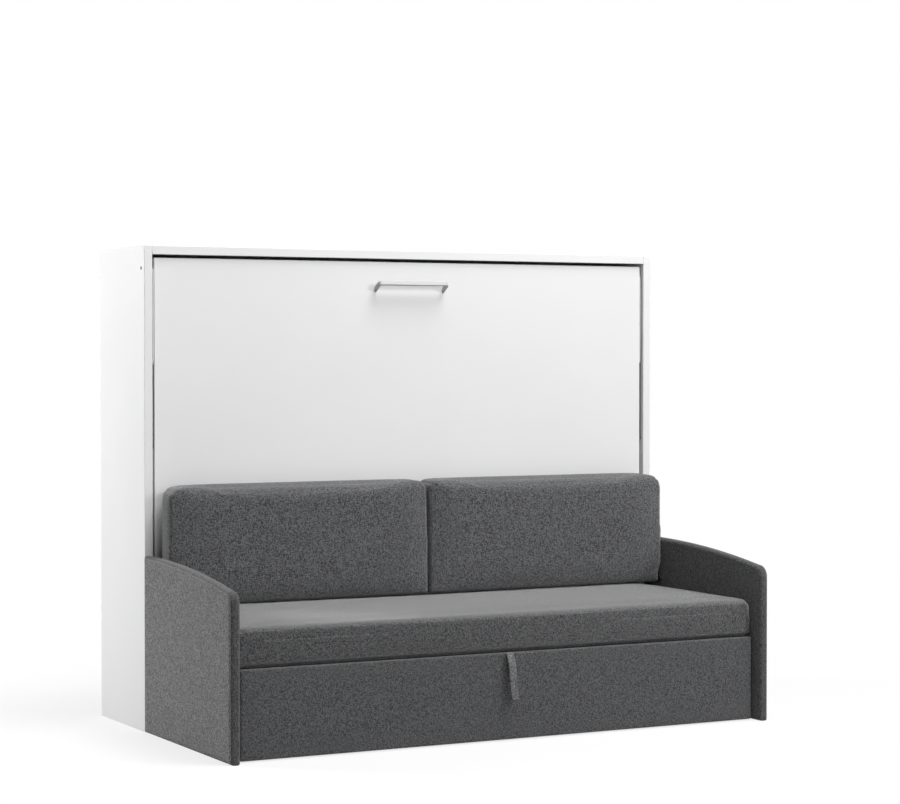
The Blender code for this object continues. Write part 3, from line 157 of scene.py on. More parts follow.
def ringed(rings):
    """Quads from each ring of points to the next; at the first and last ring a fan meets in its middle."""
    count, around = rings.shape[:2]
    ids = np.arange(count * around).reshape(count, around)
    after = np.roll(ids, -1, axis=1)
    quads = np.stack([ids[:-1], after[:-1], after[1:], ids[1:]], -1).reshape(-1, 4).tolist()
    points = rings.reshape(-1, 3)
    for row, middle in ((0, len(points)), (-1, len(points) + 1)):
        fan = np.stack([ids[row], after[row], np.full(around, middle)], -1)
        quads += fan.tolist()
    return np.concatenate([points, rings[[0, -1]].mean(axis=1)]), quads


def turned(profile, foot, axis):
    """Point (r, h) of a profile goes to foot + h a + r (u cos t + v sin t), with t once round the axis a."""
    axis = np.asarray(axis, float)
    beside = np.cross(axis, (0.3, 0.5, 0.8))
    beside /= np.linalg.norm(beside)
    third = np.cross(axis, beside)
    turn = np.linspace(0, 2 * math.pi, 24, endpoint=False)
    circle = np.cos(turn)[:, None] * beside + np.sin(turn)[:, None] * third
    profile = np.asarray(profile, float)
    return foot + profile[:, None, 1:] * axis + profile[:, None, :1] * circle


plated_steel = noisy(
    "plated_steel",
    tones=[(0.42, 0.43, 0.44), (0.58, 0.59, 0.60)],
    rough=(0.28, 0.42),
    relief=0.00002,
    layers=[((40, 40, 400), 0.6), ((900, 900, 900), 0.4)],
    metallic=1.0,
)
dress(plated_steel, "pivot_plate_left", "pivot_plate_right", "strut_bracket_left", "strut_bracket_right")
pivot_middle = np.array([0.2335, 0.6448])
strut_middle = np.array([0.2335, 0.5348])
plate_screws = [(0.028 * a, 0.052 * b) for a in (-1, 1) for b in (-1, 1)]
bracket_screws = [(0.021 * math.cos(turn), 0.021 * math.sin(turn)) for turn in (0.5, 2.6, 4.7)]
screw_profile = [(0.0044, -0.0012), (0.0044, 0.0), (0.0040, 0.0004), (0.0030, 0.0007), (0.0014, 0.0008)]
screw_profile += [(0.0012, 0.0003), (0.0003, 0.0002)]
for side, sign in (("left", -1), ("right", 1)):
    screw_places = [(1.010, pivot_middle + spot) for spot in plate_screws]
    screw_places += [(1.0057, strut_middle + spot) for spot in bracket_screws]
    for number, (face, (deep, high)) in enumerate(screw_places):
        head = turned(screw_profile, (sign * face, deep, high), (-sign, 0, 0))
        new_piece(f"screw_{side}_{number}", *ringed(head), plated_steel, "cabinet_and_sofa")

# Door handle: a flat steel strip bent to a wide U, brushed along its length, screwed on from inside the
# door. Its feet tilt down, so the bar shows its upper face.
def section_of(wide, thick, soft):
    """Points round a rectangle with arcs of radius soft at its corners, as (along width, along thickness)."""
    turn = np.linspace(0, math.pi / 2, 5)
    arc = np.stack([np.cos(turn), np.sin(turn)], -1) * soft
    middle = np.array([wide / 2 - soft, thick / 2 - soft])
    quarters = []
    for quarter in range(4):
        angle = quarter * math.pi / 2
        spin = np.array([[math.cos(angle), math.sin(angle)], [-math.sin(angle), math.cos(angle)]])
        signs = np.array([(1, 1), (-1, 1), (-1, -1), (1, -1)][quarter])
        quarters.append(arc @ spin + middle * signs)
    return np.concatenate(quarters)


def swept(path, across, out, section):
    """Point (s, t) of the section, at each stop p of the path, goes to p + s across + t out."""
    return path[:, None] + section[None, :, :1] * across[:, None] + section[None, :, 1:] * out[:, None]


handle_metal = noisy(
    "handle_metal",
    tones=[(0.37, 0.37, 0.375), (0.45, 0.45, 0.455)],
    rough=(0.62, 0.72),
    relief=0.00003,
    layers=[((12, 900, 900), 0.7), ((250, 1500, 1500), 0.3)],
    metallic=0.3,
)
handle_tilt = math.radians(32)
handle_in = np.array([0, math.cos(handle_tilt), -math.sin(handle_tilt)])
handle_wide = np.array([0, math.sin(handle_tilt), math.cos(handle_tilt)])
handle_strip, handle_thick, handle_edge, handle_bend = 0.017, 0.007, 0.0012, 0.012
handle_half, handle_foot, handle_high = 0.143, 0.040, 1.582
door_face = 0.1785
bend_path = handle_bend - handle_thick / 2
turn = np.linspace(0, math.pi / 2, 13)
half_run = handle_half - handle_bend + bend_path * np.sin(turn)
half_path = np.stack([half_run, bend_path * (1 - np.cos(turn))], -1)
half_out = np.stack([np.sin(turn), -np.cos(turn)], -1)
half_path = np.concatenate([half_path, [[handle_half - handle_thick / 2, handle_foot]]])
half_out = np.concatenate([half_out, [[1, 0]]])
flat_path = np.concatenate([half_path[::-1] * (-1, 1), np.linspace((-0.12, 0), (0.12, 0), 9), half_path])
flat_out = np.concatenate([half_out[::-1] * (-1, 1), np.tile((0, -1), (9, 1)), half_out])
handle_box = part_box("door_handle")
span = flat_path[:, :1] * (1, 0, 0) + flat_path[:, 1:] * handle_in
handle_rings = swept(
    span + handle_thick / 2 * handle_in,
    np.tile(handle_wide, (len(span), 1)),
    flat_out[:, :1] * (1, 0, 0) + flat_out[:, 1:] * handle_in,
    section_of(handle_strip, handle_thick, handle_edge),
)
handle_rings += (0, handle_box[0][1] - handle_rings[..., 1].min(), handle_high)
for end in (0, -1):
    reach = (door_face - handle_rings[end, :, 1:2]) / handle_in[1]
    handle_rings[end] += reach * handle_in
handle = new_piece("handle", *ringed(handle_rings), handle_metal, "bed")
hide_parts("door_handle")

# Bed frame: two long rails, two ends and a middle bar of square steel tube, welded and coated with grey
# powder. It hangs on two plated lever plates.
powder = noisy(
    "frame_steel",
    tones=[(0.20, 0.205, 0.21), (0.26, 0.265, 0.27)],
    rough=(0.45, 0.6),
    relief=0.00006,
    layers=[((900, 900, 900), 0.8), ((20, 20, 20), 0.2)],
)
dress(powder, "frame_end_left", "frame_end_right", "frame_middle_bar", "frame_rail_lower", "frame_rail_upper")
dress(plated_steel, "lever_plate_left", "lever_plate_right")

# Slats: bowed strips of beech plywood with the grain along each. Two tapes join them, and they are laid on
# the bed frame.
beech = noisy(
    "beech_ply",
    tones=[(0.52, 0.36, 0.22), (0.70, 0.53, 0.35)],
    rough=(0.42, 0.55),
    relief=0.00008,
    layers=[((220, 220, 5), 0.6), ((900, 900, 60), 0.4)],
)
dress(beech, "slat_mat")

# Mattress: a block of foam in a knitted cover, quilted in diamonds on top and sewn with a seam round both
# edges. It is flat where it lies on the slats.
def box_skin(low, high, step, edge, edge_steps):
    """Evenly spread points on the six faces of a box, closer within edge of each side, and their quads.

    The point of lattice number n along an axis lies at the value that runs through (0, low), (k, low + edge),
    (N - k, high - edge), (N, high), with k steps in each edge zone.
    """
    low, high = np.asarray(low, float), np.asarray(high, float)
    counts = np.maximum(np.round((high - low - 2 * edge) / step).astype(int), 1) + 2 * edge_steps
    parts = []
    for axis in range(3):
        first, second = (axis + 1) % 3, (axis + 2) % 3
        for end in (0, counts[axis]):
            grid = np.zeros((counts[first] + 1, counts[second] + 1, 3), int)
            grid[..., axis] = end
            grid[..., first] = np.arange(counts[first] + 1)[:, None]
            grid[..., second] = np.arange(counts[second] + 1)[None, :]
            ids = np.ravel_multi_index(np.moveaxis(grid, -1, 0), counts + 1)
            cells = np.stack([ids[:-1, :-1], ids[1:, :-1], ids[1:, 1:], ids[:-1, 1:]], -1).reshape(-1, 4)
            parts.append(cells if end else cells[:, ::-1])
    used, quads = np.unique(np.concatenate(parts), return_inverse=True)
    numbers = np.stack(np.unravel_index(used, counts + 1), -1)
    places = np.empty(numbers.shape)
    for axis in range(3):
        stops = [0, edge_steps, counts[axis] - edge_steps, counts[axis]]
        values = [low[axis], low[axis] + edge, high[axis] - edge, high[axis]]
        places[:, axis] = np.interp(numbers[:, axis], stops, values)
    return places, quads.reshape(-1, 4)


def rounded(places, low, high, radius):
    """A box's point q goes to c + r (q - c) / |q - c|, where c is q held inside the box less r all round."""
    core = np.clip(places, np.asarray(low) + radius, np.asarray(high) - radius)
    away = places - core
    length = np.linalg.norm(away, axis=1, keepdims=True)
    return core + away / np.maximum(length, 1e-9) * np.where(length > 0, radius, 0)


def round_cornered(points, low, high, axes, radius, upper_only=False):
    """Rounds the corners of a piece's outline in the plane of two axes.

    An offset (u, v) from the corner's inner point goes to (u, v) max(u, v) / |(u, v)|, which turns the
    square of that corner into a quarter of a disc.
    """
    points = points.copy()
    flat = points[:, axes]
    low, high = np.asarray(low)[list(axes)] + radius, np.asarray(high)[list(axes)] - radius
    if upper_only:
        low = np.array([low[0], -np.inf])
    away = flat - np.clip(flat, low, high)
    length = np.linalg.norm(away, axis=1, keepdims=True)
    points[:, axes] = flat - away + away * np.abs(away).max(axis=1, keepdims=True) / np.maximum(length, 1e-9)
    return points


def eased(points, low, high, reach):
    """A point past the line that lies reach inside a side, by d, goes to reach tanh(d / reach) past it."""
    above = high - reach + reach * np.tanh((points - high + reach) / reach)
    below = low + reach - reach * np.tanh((low + reach - points) / reach)
    return np.where(points > high - reach, above, np.where(points < low + reach, below, points))


def puffed(points, quads, held, reach):
    """The points after cloth physics has blown the closed skin up from inside for 20 frames.

    Held points stay. A point that has moved by d keeps d tanh(|d| / reach) reach / |d|.
    """
    mesh = bpy.data.meshes.new("trial")
    mesh.from_pydata(points.tolist(), [], quads.tolist())
    trial = bpy.data.objects.new("trial", mesh)
    scene = bpy.context.scene
    scene.collection.objects.link(trial)
    group = trial.vertex_groups.new(name="held")
    group.add(np.flatnonzero(held).tolist(), 1.0, "REPLACE")
    cloth = trial.modifiers.new("cloth", "CLOTH")
    cloth.settings.quality = 5
    cloth.settings.mass = 0.3
    cloth.settings.use_pressure = True
    cloth.settings.uniform_pressure_force = 4.0
    cloth.settings.effector_weights.gravity = 0
    cloth.settings.vertex_group_mass = "held"
    cloth.collision_settings.use_collision = False
    for number in range(1, 21):
        scene.frame_set(number)
    seen = trial.evaluated_get(bpy.context.evaluated_depsgraph_get()).data
    moved = np.empty(len(points) * 3)
    seen.vertices.foreach_get("co", moved)
    moved = moved.reshape(-1, 3) - points
    bpy.data.objects.remove(trial)
    bpy.data.meshes.remove(mesh)
    scene.frame_set(1)
    length = np.maximum(np.linalg.norm(moved, axis=1, keepdims=True), 1e-9)
    return points + moved * np.tanh(length / reach) * reach / length


def finer(points, quads):
    """The skin after one step of smooth subdivision, as points and quads."""
    mesh = bpy.data.meshes.new("coarse")
    mesh.from_pydata(points.tolist(), [], quads.tolist())
    coarse = bpy.data.objects.new("coarse", mesh)
    bpy.context.scene.collection.objects.link(coarse)
    split = coarse.modifiers.new("split", "SUBSURF")
    split.levels = split.render_levels = 1
    seen = coarse.evaluated_get(bpy.context.evaluated_depsgraph_get()).data
    result = np.empty(len(seen.vertices) * 3)
    seen.vertices.foreach_get("co", result)
    corners = np.empty(len(seen.loops), int)
    seen.loops.foreach_get("vertex_index", corners)
    bpy.data.objects.remove(coarse)
    bpy.data.meshes.remove(mesh)
    return result.reshape(-1, 3), corners.reshape(-1, 4)


def relaxed(points, quads, share, rounds):
    """In each round point q goes to q + share (m - q), where m is the mean of the points next to it."""
    edges = np.concatenate([quads[:, [k, (k + 1) % 4]] for k in range(4)])
    count = np.bincount(edges[:, 0], minlength=len(points))[:, None]
    for _ in range(rounds):
        total = [np.bincount(edges[:, 0], points[edges[:, 1], axis], len(points)) for axis in range(3)]
        points = points + share[:, None] * (np.stack(total, -1) / count - points)
    return points


def seam_depth(points, low, high, axis, level, depth, width):
    """Depth of the seam round a cushion where its face of that level on that axis meets the band.

    With a the distance behind the face and b that from the nearest side, it is
    depth exp(-((a - b) / width)^2) sqrt(1 - (a + b) / 0.08), and nothing where a + b is over 0.08.
    """
    others = [other for other in range(3) if other != axis]
    behind = np.abs(points[:, axis] - level)
    sides = np.minimum(points[:, others] - low[others], high[others] - points[:, others]).min(axis=1)
    near = np.clip(1 - (behind + sides) / 0.08, 0, 1)
    return depth * np.exp(-(((behind - sides) / width) ** 2)) * np.sqrt(near)


def drawn_in(points, low, high, depths):
    """Each point moves by its depth towards the nearest place of the box 30 mm inside the cushion."""
    toward = np.clip(points, low + 0.03, high - 0.03) - points
    return points + toward * (depths / np.maximum(np.linalg.norm(toward, axis=1), 1e-9))[:, None]


mattress_cloth = noisy(
    "mattress_cloth",
    tones=[(0.48, 0.48, 0.475), (0.60, 0.60, 0.595)],
    rough=(0.75, 0.9),
    relief=0.0004,
    layers=[((500, 500, 500), 0.5), ((120, 600, 600), 0.25), ((600, 600, 120), 0.25)],
    sheen=0.2,
)
mattress_low, mattress_high = (np.array(corner, float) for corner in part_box("mattress"))
start_low = mattress_low + (0.006, 0.0005, 0.006)
start_high = mattress_high - (0.006, 0.010, 0.006)
places, quads = box_skin(start_low, start_high, step=0.016, edge=0.03, edge_steps=5)
points = rounded(places, start_low, start_high, radius=0.022)
on_slats = places[:, 1] < start_low[1] + 0.002
points = puffed(points, quads, on_slats, reach=0.009)
points, quads = finer(points, quads)
quilt_spacing, quilt_line, quilt_depth = 0.16, 0.14, 0.004
top_share = np.clip((points[:, 1] - mattress_high[1] + 0.03) / 0.02, 0, 1)
diagonals = [np.sin(math.pi * (points[:, 0] + side * points[:, 2]) / quilt_spacing) for side in (-1, 1)]
quilting = np.exp(-((diagonals[0] / quilt_line) ** 2)) + np.exp(-((diagonals[1] / quilt_line) ** 2))
points[:, 1] -= quilt_depth * np.minimum(quilting, 1.2) * top_share
for level in (start_low[1], start_high[1]):
    groove = seam_depth(points, start_low, start_high, 1, level, depth=0.002, width=0.004)
    points = drawn_in(points, start_low, start_high, groove)
points = np.clip(points, mattress_low, mattress_high)
mattress = new_piece("mattress_cover", points, quads.tolist(), mattress_cloth, "bed")
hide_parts("mattress")

# Mattress bands: two pale woven bands, each drawn tight round the mattress across the bed. They keep it in
# place while the bed stands upright.
def webbing(path, wide, thick, soft):
    """A band swept along a path, its width along X at every stop: its rings and the path's length."""
    lengthwise = np.gradient(path, axis=0)
    lengthwise /= np.linalg.norm(lengthwise, axis=1, keepdims=True)
    outward = np.cross(lengthwise, (1, 0, 0))
    rings = swept(path, np.tile((1.0, 0, 0), (len(path), 1)), outward, section_of(wide, thick, soft))
    return rings, float(np.linalg.norm(np.diff(path, axis=0), axis=1).sum())


band_cloth = noisy(
    "mattress_cloth",
    tones=[(0.30, 0.31, 0.33), (0.46, 0.47, 0.49)],
    rough=(0.8, 0.9),
    relief=0.0003,
    layers=[((900, 220, 220), 0.5), ((220, 900, 900), 0.5)],
    sheen=0.3,
)
band_thick, band_wide, band_spot, band_bend = 0.0012, 0.040, 0.44, 0.022
band_rear = mattress_high[1] + 0.0008
band_low, band_high = mattress_low[2] + 0.004, mattress_high[2] - 0.004
corner_turn = np.linspace(0, math.pi / 2, 7)
corner_arc = band_bend * np.stack([np.sin(corner_turn), np.cos(corner_turn)], -1)
half_band = np.concatenate(
    [
        np.linspace((band_rear, (band_low + band_high) / 2), (band_rear, band_high - 0.030), 24),
        corner_arc[:, ::-1] + (band_rear - band_bend, band_high - band_bend),
        np.linspace((band_rear - 0.030, band_high), (mattress_low[1] + 0.012, band_high), 8),
    ]
)
lower_band = half_band[::-1] * (1, -1) + (0, band_low + band_high)
band_path = np.concatenate([lower_band, half_band[1:]])
for side, sign in (("left", -1), ("right", 1)):
    path = np.column_stack([np.full(len(band_path), sign * band_spot), band_path])
    rings, band_long = webbing(path, band_wide, band_thick, 0.0005)
    strip = new_piece(f"mattress_band_{side}", *ringed(rings), band_cloth, "bed")

# Legs: a flat white painted bar at each end of the bed, with a dark extension that slides on it and a
# rubber shoe. Each hangs on a stud of the bed frame.
white_steel = noisy(
    "white_steel",
    tones=[(0.66, 0.66, 0.665), (0.72, 0.72, 0.725)],
    rough=(0.35, 0.45),
    relief=0.00003,
    layers=[((900, 900, 900), 0.8), ((15, 15, 15), 0.2)],
)
dark_steel = noisy(
    "dark_steel",
    tones=[(0.025, 0.026, 0.028), (0.04, 0.041, 0.043)],
    rough=(0.38, 0.5),
    relief=0.00003,
    layers=[((900, 900, 900), 0.8), ((15, 15, 15), 0.2)],
)
rubber = noisy(
    "rubber",
    tones=[(0.02, 0.02, 0.02), (0.035, 0.035, 0.035)],
    rough=(0.65, 0.8),
    relief=0.00008,
    layers=[((700, 700, 700), 1)],
)
dress(white_steel, "leg_bar_left", "leg_bar_right")
dress(dark_steel, "leg_extension_left", "leg_extension_right")
dress(rubber, "leg_foot_left", "leg_foot_right")

# Gas struts: cylinders painted black, with bright rods that slide in them. They are hung between the
# cabinet's brackets and the bed's lever plates.
dress(dark_steel, "strut_cylinder_left", "strut_cylinder_right")
dress(plated_steel, "strut_rod_left", "strut_rod_right")

# Seat frame and backrest: plywood boards, those near the cushions black as painted shade for the crevices
# around the cushions, and two black steel brackets that carry the backrest
plywood = noisy(
    "plywood",
    tones=[(0.60, 0.47, 0.31), (0.76, 0.63, 0.45)],
    rough=(0.5, 0.62),
    relief=0.0001,
    layers=[((6, 220, 220), 0.6), ((80, 900, 900), 0.4)],
)
# Painted shade: the boards near the cushions are black so that the crevices round the cushions read dark
black_board = noisy(
    "black_board",
    tones=[(0.012, 0.012, 0.013), (0.022, 0.022, 0.023)],
    rough=(0.75, 0.9),
    relief=0.0002,
    layers=[((900, 900, 900), 0.6), ((60, 400, 400), 0.4)],
)
dress(plywood, "seat_rear_board")
dress(black_board, "seat_board", "seat_front_rail", "backrest_board")
dress(dark_steel, "backrest_bracket_left", "backrest_bracket_right")

# Arms: board panels padded with thin foam under dark grey slub weave. The weave of the top, front and inner
# faces is painted darker as painted shade, and the outer face is painted much lighter as painted light; it is
# sewn to the rest with a seam round its edge.
def slub_cloth(name, tones, sheen, slub=(100, 470, 470), spread=0.040, fuzz=0.4):
    """Dark weave: slubs drawn out along one axis, others along Z, and a speckle of single threads."""
    layers = [(slub, 0.45), ((470, 470, 100), 0.40), ((900, 900, 900), 0.15)]
    rough, relief = (0.8, 0.95), 0.0006
    return noisy(name, tones, rough, relief, layers, sheen=sheen, fuzz=fuzz, spread=spread)


def face_middles(piece):
    """The middle of each face of a piece."""
    middles = np.empty(len(piece.data.polygons) * 3)
    piece.data.polygons.foreach_get("center", middles)
    return middles.reshape(-1, 3)


def second_finish(piece, material, chosen):
    """Gives the chosen faces of a piece a second material."""
    piece.data.materials.append(material)
    piece.data.polygons.foreach_set("material_index", chosen.astype(int))


cloth_tones = [(0.012, 0.0125, 0.0140), (0.128, 0.130, 0.135)]
charcoal = slub_cloth("charcoal_weave", cloth_tones, 0.35)
# Painted shade: the arms' weave is darker than the drawer front's, for the shaded top, front and inner faces
shaded_arm_tones = [(0.009, 0.0093, 0.0100), (0.105, 0.106, 0.109)]
shaded_arm_cloth = slub_cloth("charcoal_weave", shaded_arm_tones, 0.28, slub=(430, 90, 430), spread=0.042)
# Painted light: the outer faces' weave is far lighter, for the light that falls on them from the rear left
lit_outer_tones = [(0.032, 0.0323, 0.033), (0.300, 0.301, 0.303)]
lit_outer_cloth = slub_cloth("charcoal_weave", lit_outer_tones, 0.45, slub=(430, 110, 430), spread=0.034)
arm_rear, arm_front, arm_corner, arm_soft = 0.1682, -0.6185, 0.042, 0.009
arm_rear_high, arm_front_high, arm_fall, arm_power = 0.617, 0.560, 0.057, 2.1


def arm_outline(inset):
    """The side view of an arm as (Y, Z), drawn in by the inset.

    It goes forward along the top, at z = rear height - fall s^power with s the share of the way to the front
    corner, round an arc of 42 mm, down the front, back along the floor and up the rear.
    """
    rear, front, low = arm_rear - inset, arm_front + inset, inset
    run = arm_rear - arm_soft - arm_front - arm_corner
    corner = np.array([arm_front + arm_corner, arm_front_high - arm_corner])
    slope = math.atan(arm_power * arm_fall / run)

    def arc(middle, radius, start, end, steps):
        turn = np.linspace(start, end, steps)
        return middle + max(radius - inset, 0.0005) * np.stack([np.cos(turn), np.sin(turn)], -1)

    quarter = math.pi / 2
    edge, foot = max(arm_soft, inset + 0.0005), max(0.003, inset + 0.0005)
    top_y = arm_rear - edge + (corner[0] - arm_rear + edge) * np.linspace(0.012, 0.985, 60)
    share = (arm_rear - arm_soft - top_y) / run
    top_z = arm_rear_high - arm_fall * np.maximum(share, 0) ** arm_power - inset
    parts = [
        arc((arm_rear - edge, arm_rear_high - edge), edge, 0, quarter, 8),
        np.stack([top_y, top_z], -1),
        arc(corner, arm_corner, quarter + slope, math.pi, 16),
        np.stack([np.full(40, front), np.linspace(0.510, 0.010 + inset, 40)], -1),
        arc((arm_front + foot, foot), foot, math.pi, math.pi + quarter, 5),
        np.stack([np.linspace(front + 0.012, rear - 0.012, 50), np.full(50, low)], -1),
        arc((arm_rear - foot, foot), foot, math.pi + quarter, 2 * math.pi, 5),
        np.stack([np.full(40, rear), np.linspace(0.010 + inset, 0.596 - inset, 40)], -1),
    ]
    return np.concatenate(parts)


arm_inner, half_thick, finish_depth, spine_share = 1.010, 0.01875, 0.0042, 0.96
seamed = [(0.030, 0.0), (0.022, 0.0002), (0.016, 0.0006), (0.012, 0.0013), (0.0098, 0.0026), (0.0088, 0.0046)]
seamed += [(0.0078, 0.0036), (0.0058, 0.0040), (0.0036, 0.0056), (0.0016, 0.0085)]
seamed += [(0.0004, 0.012), (0, 0.0155)]
plain_turn = np.linspace(0, math.pi / 2, 9)
plain = [(0.030, 0.0), (0.018, 0.0001)]
plain += [(0.012 * (1 - math.sin(angle)), 0.011 * (1 - math.cos(angle))) for angle in plain_turn]
arm_levels = [(0.030, share, half_thick) for share in (1.0, 0.8, 0.6, 0.4, 0.2)]
inner_levels = [(inset, share, -height) for inset, share, height in arm_levels[::-1]]
arm_levels += [(inset, 0, half_thick - drop) for inset, drop in seamed] + [(0, 0, 0)]
arm_levels += [(inset, 0, drop - half_thick) for inset, drop in plain[::-1]] + inner_levels
for side, sign in (("left", -1), ("right", 1)):
    rings = []
    for inset, share, height in arm_levels:
        flat = arm_outline(inset)
        spine = np.stack([np.clip(flat[:, 0], -0.40, -0.05), np.clip(flat[:, 1], 0.22, 0.34)], -1)
        flat = flat + (spine - flat) * share * spine_share
        across = np.full((len(flat), 1), sign * (arm_inner + half_thick + height))
        rings.append(np.concatenate([across, flat], -1))
    arm = new_piece(f"arm_{side}_cover", *ringed(np.array(rings)), shaded_arm_cloth, "cabinet_and_sofa")
    outside = arm_inner + 2 * half_thick - finish_depth
    # The outer faces take the lighter copy, painted light.
    second_finish(arm, lit_outer_cloth, np.abs(face_middles(arm)[:, 0]) > outside)
    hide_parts(f"arm_{side}")

# Seat cushion: one long foam block covered in the same weave, its top crowned. The top faces take a copy of
# the weave with a broader sheen, painted light for the light the top catches. It lies flat on the seat board,
# and its lower front edge is drawn back and up to clear the drawer's front.
seat_tones = [(0.006, 0.0061, 0.0068), (0.132, 0.134, 0.139)]
seat_weave = slub_cloth("seat_weave", seat_tones, 1.0, spread=0.034, fuzz=0.30)
# Painted light: a copy of the weave with a broader sheen, so that the top renders lighter
lit_top_weave = slub_cloth("lit_top_weave", seat_tones, 1.0, spread=0.036, fuzz=0.44)
seat_low, seat_high = (np.array(corner, float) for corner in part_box("seat_cushion"))
start_low = seat_low + (0.0005, 0.006, 0.0)
start_high = seat_high - (0.0005, 0.002, 0.007)
places, quads = box_skin(start_low, start_high, step=0.015, edge=0.03, edge_steps=6)
top_radius, foot_radius, end_radius = 0.023, 0.013, 0.036
upper_half = places[:, 2:] > (start_low[2] + start_high[2]) / 2
points = rounded(places, start_low, start_high, np.where(upper_half, top_radius, foot_radius))
points = round_cornered(points, start_low, start_high, (0, 2), end_radius, upper_only=True)
held = places[:, 2] < start_low[2] + 1e-6
points = puffed(points, quads, held, reach=0.008)
points, quads = finer(points, quads)
from_corner = np.hypot(seat_high[0] - np.abs(points[:, 0]), seat_high[2] - points[:, 2])
points = relaxed(points, quads, 0.9 * np.clip(1.3 - from_corner / 0.06, 0, 1), rounds=10)
points = eased(points, np.array([seat_low[0], seat_low[1], -np.inf]), seat_high, reach=0.003)
points = np.maximum(points, seat_low)
no_top = np.array([seat_high[0], seat_high[1], np.inf])
points = round_cornered(points, seat_low, no_top, (1, 2), radius=0.018)
points = round_cornered(points, seat_low, no_top, (0, 2), radius=0.010)
overhang_start, overhang_run, drawn_back, drawn_up = -0.530, 0.04, 0.014, 0.013
overhang = np.clip((overhang_start - points[:, 1]) / overhang_run, 0, 1)
overhang = overhang * overhang * (3 - 2 * overhang)
low_share = np.clip(1 - (points[:, 2] - seat_low[2]) / 0.115, 0, 1)
points[:, 1] += drawn_back * overhang * low_share**1.6
points[:, 2] += drawn_up * overhang * low_share
seat = new_piece("seat_cushion_cover", points, quads.tolist(), seat_weave, "cabinet_and_sofa")
# The top faces take the lighter copy, painted light.
middles = face_middles(seat)
lit_top_faces = (middles[:, 2] > seat_low[2] + 0.09) & (middles[:, 1] > seat_low[1] + 0.015)
lit_top_faces &= np.abs(middles[:, 0]) < seat_high[0] - 0.017
second_finish(seat, lit_top_weave, lit_top_faces)
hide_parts("seat_cushion")

# Back cushions: two filled covers in a lighter copy of the same weave, painted light, side by side against
# the backrest board. Each front is sewn to its band with a sunken seam, and the fill sags at the outer ends.
# Painted light: tones about a fifth lighter than the drawer front's, for the brighter-lit cushions
lit_back_tones = [(0.016, 0.0165, 0.0185), (0.158, 0.160, 0.166)]
lit_back_cloth = slub_cloth("charcoal_weave", lit_back_tones, 0.5)
top_radius, foot_radius, corner_radius, outer_x, inner_x = 0.018, 0.010, 0.034, 0.995, 0.002
end_sag, front_swell, rear_draw, pushed_over, end_reach = 0.009, 0.012, 0.019, 0.005, 0.03
for side, sign in (("left", -1), ("right", 1)):
    cushion_low, cushion_high = (np.array(corner, float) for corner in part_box(f"back_cushion_{side}"))
    start_low = cushion_low + (0.001, 0.003, 0.002)
    start_high = cushion_high - (0.001, 0.0, 0.004)
    places, quads = box_skin(start_low, start_high, step=0.012, edge=0.028, edge_steps=6)
    upper_half = places[:, 2:] > (start_low[2] + start_high[2]) / 2
    points = rounded(places, start_low, start_high, np.where(upper_half, top_radius, foot_radius))
    points = round_cornered(points, start_low, start_high, (0, 2), corner_radius, upper_only=True)
    edge_two = np.sort(np.minimum(places - start_low, start_high - places), axis=1)[:, 1]
    on_front_seam = (places[:, 1] < start_low[1] + 1e-6) & (edge_two < 1e-6)
    on_front_seam &= places[:, 2] < start_high[2] - 0.03
    held = on_front_seam | (places[:, 1] > start_high[1] - 1e-6)
    points = puffed(points, quads, held, reach=0.012)
    points, quads = finer(points, quads)
    from_corner = np.hypot(outer_x - np.abs(points[:, 0]), start_high[2] - points[:, 2])
    points = relaxed(points, quads, 0.9 * np.clip(1.3 - from_corner / 0.09, 0, 1), rounds=12)
    groove = seam_depth(points, start_low, start_high, 1, start_low[1], depth=0.0028, width=0.003)
    groove *= np.clip((start_high[2] - points[:, 2]) / 0.05, 0, 1)
    points = drawn_in(points, start_low, start_high, groove)
    points = eased(points, cushion_low - (0, 0.009, 0), cushion_high, reach=0.002)
    height = (points[:, 2] - cushion_low[2]) / (cushion_high[2] - cushion_low[2])
    depth = (points[:, 1] - cushion_low[1]) / (cushion_high[1] - cushion_low[1])
    outer_end, inner_end = outer_x - np.abs(points[:, 0]), np.abs(points[:, 0]) - inner_x
    at_end = np.exp(-outer_end / end_reach)
    points[:, 2] -= end_sag * at_end * np.clip(height * 2 - 1, 0, 1) ** 2
    swell = (front_swell + 0.0015 * sign) - rear_draw * np.clip((depth - 0.45) / 0.55, 0, 1) ** 1.6
    swell *= 1 - 0.4 * np.clip((height - 0.88) / 0.12, 0, 1)
    swell *= np.clip((height - 0.09) / 0.08, 0, 1) * at_end
    pushed = pushed_over * np.clip((1 - height) / 0.3, 0, 1) * np.exp(-np.maximum(inner_end, 0) / 0.05)
    points[:, 0] += sign * swell + pushed
    cushion = new_piece(f"back_cushion_{side}_cover", points, quads.tolist(), lit_back_cloth, "backrest")
    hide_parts(f"back_cushion_{side}")

# Drawer front: a board with a thin padding under the same weave, which is wrapped round it and stapled
# inside. The padding stands a little over the board's top edge.
front_low, front_high = (np.array(corner, float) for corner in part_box("drawer_front"))
over_board, edge_draw = 0.006, 0.0015
front_high[2] += over_board
places, quads = box_skin(front_low, front_high, step=0.02, edge=0.009, edge_steps=4)
points = rounded(places, front_low, front_high, radius=0.007)
facing = np.clip((front_low[1] + 0.012 - points[:, 1]) / 0.012, 0, 1)
from_side = np.minimum(points - front_low, front_high - points)[:, [0, 2]].min(axis=1)
points[:, 1] += edge_draw * facing * np.exp(-from_side / 0.02)
points, quads = finer(points, quads)
front = new_piece("drawer_front_cover", points, quads.tolist(), charcoal, "drawer")
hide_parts("drawer_front")

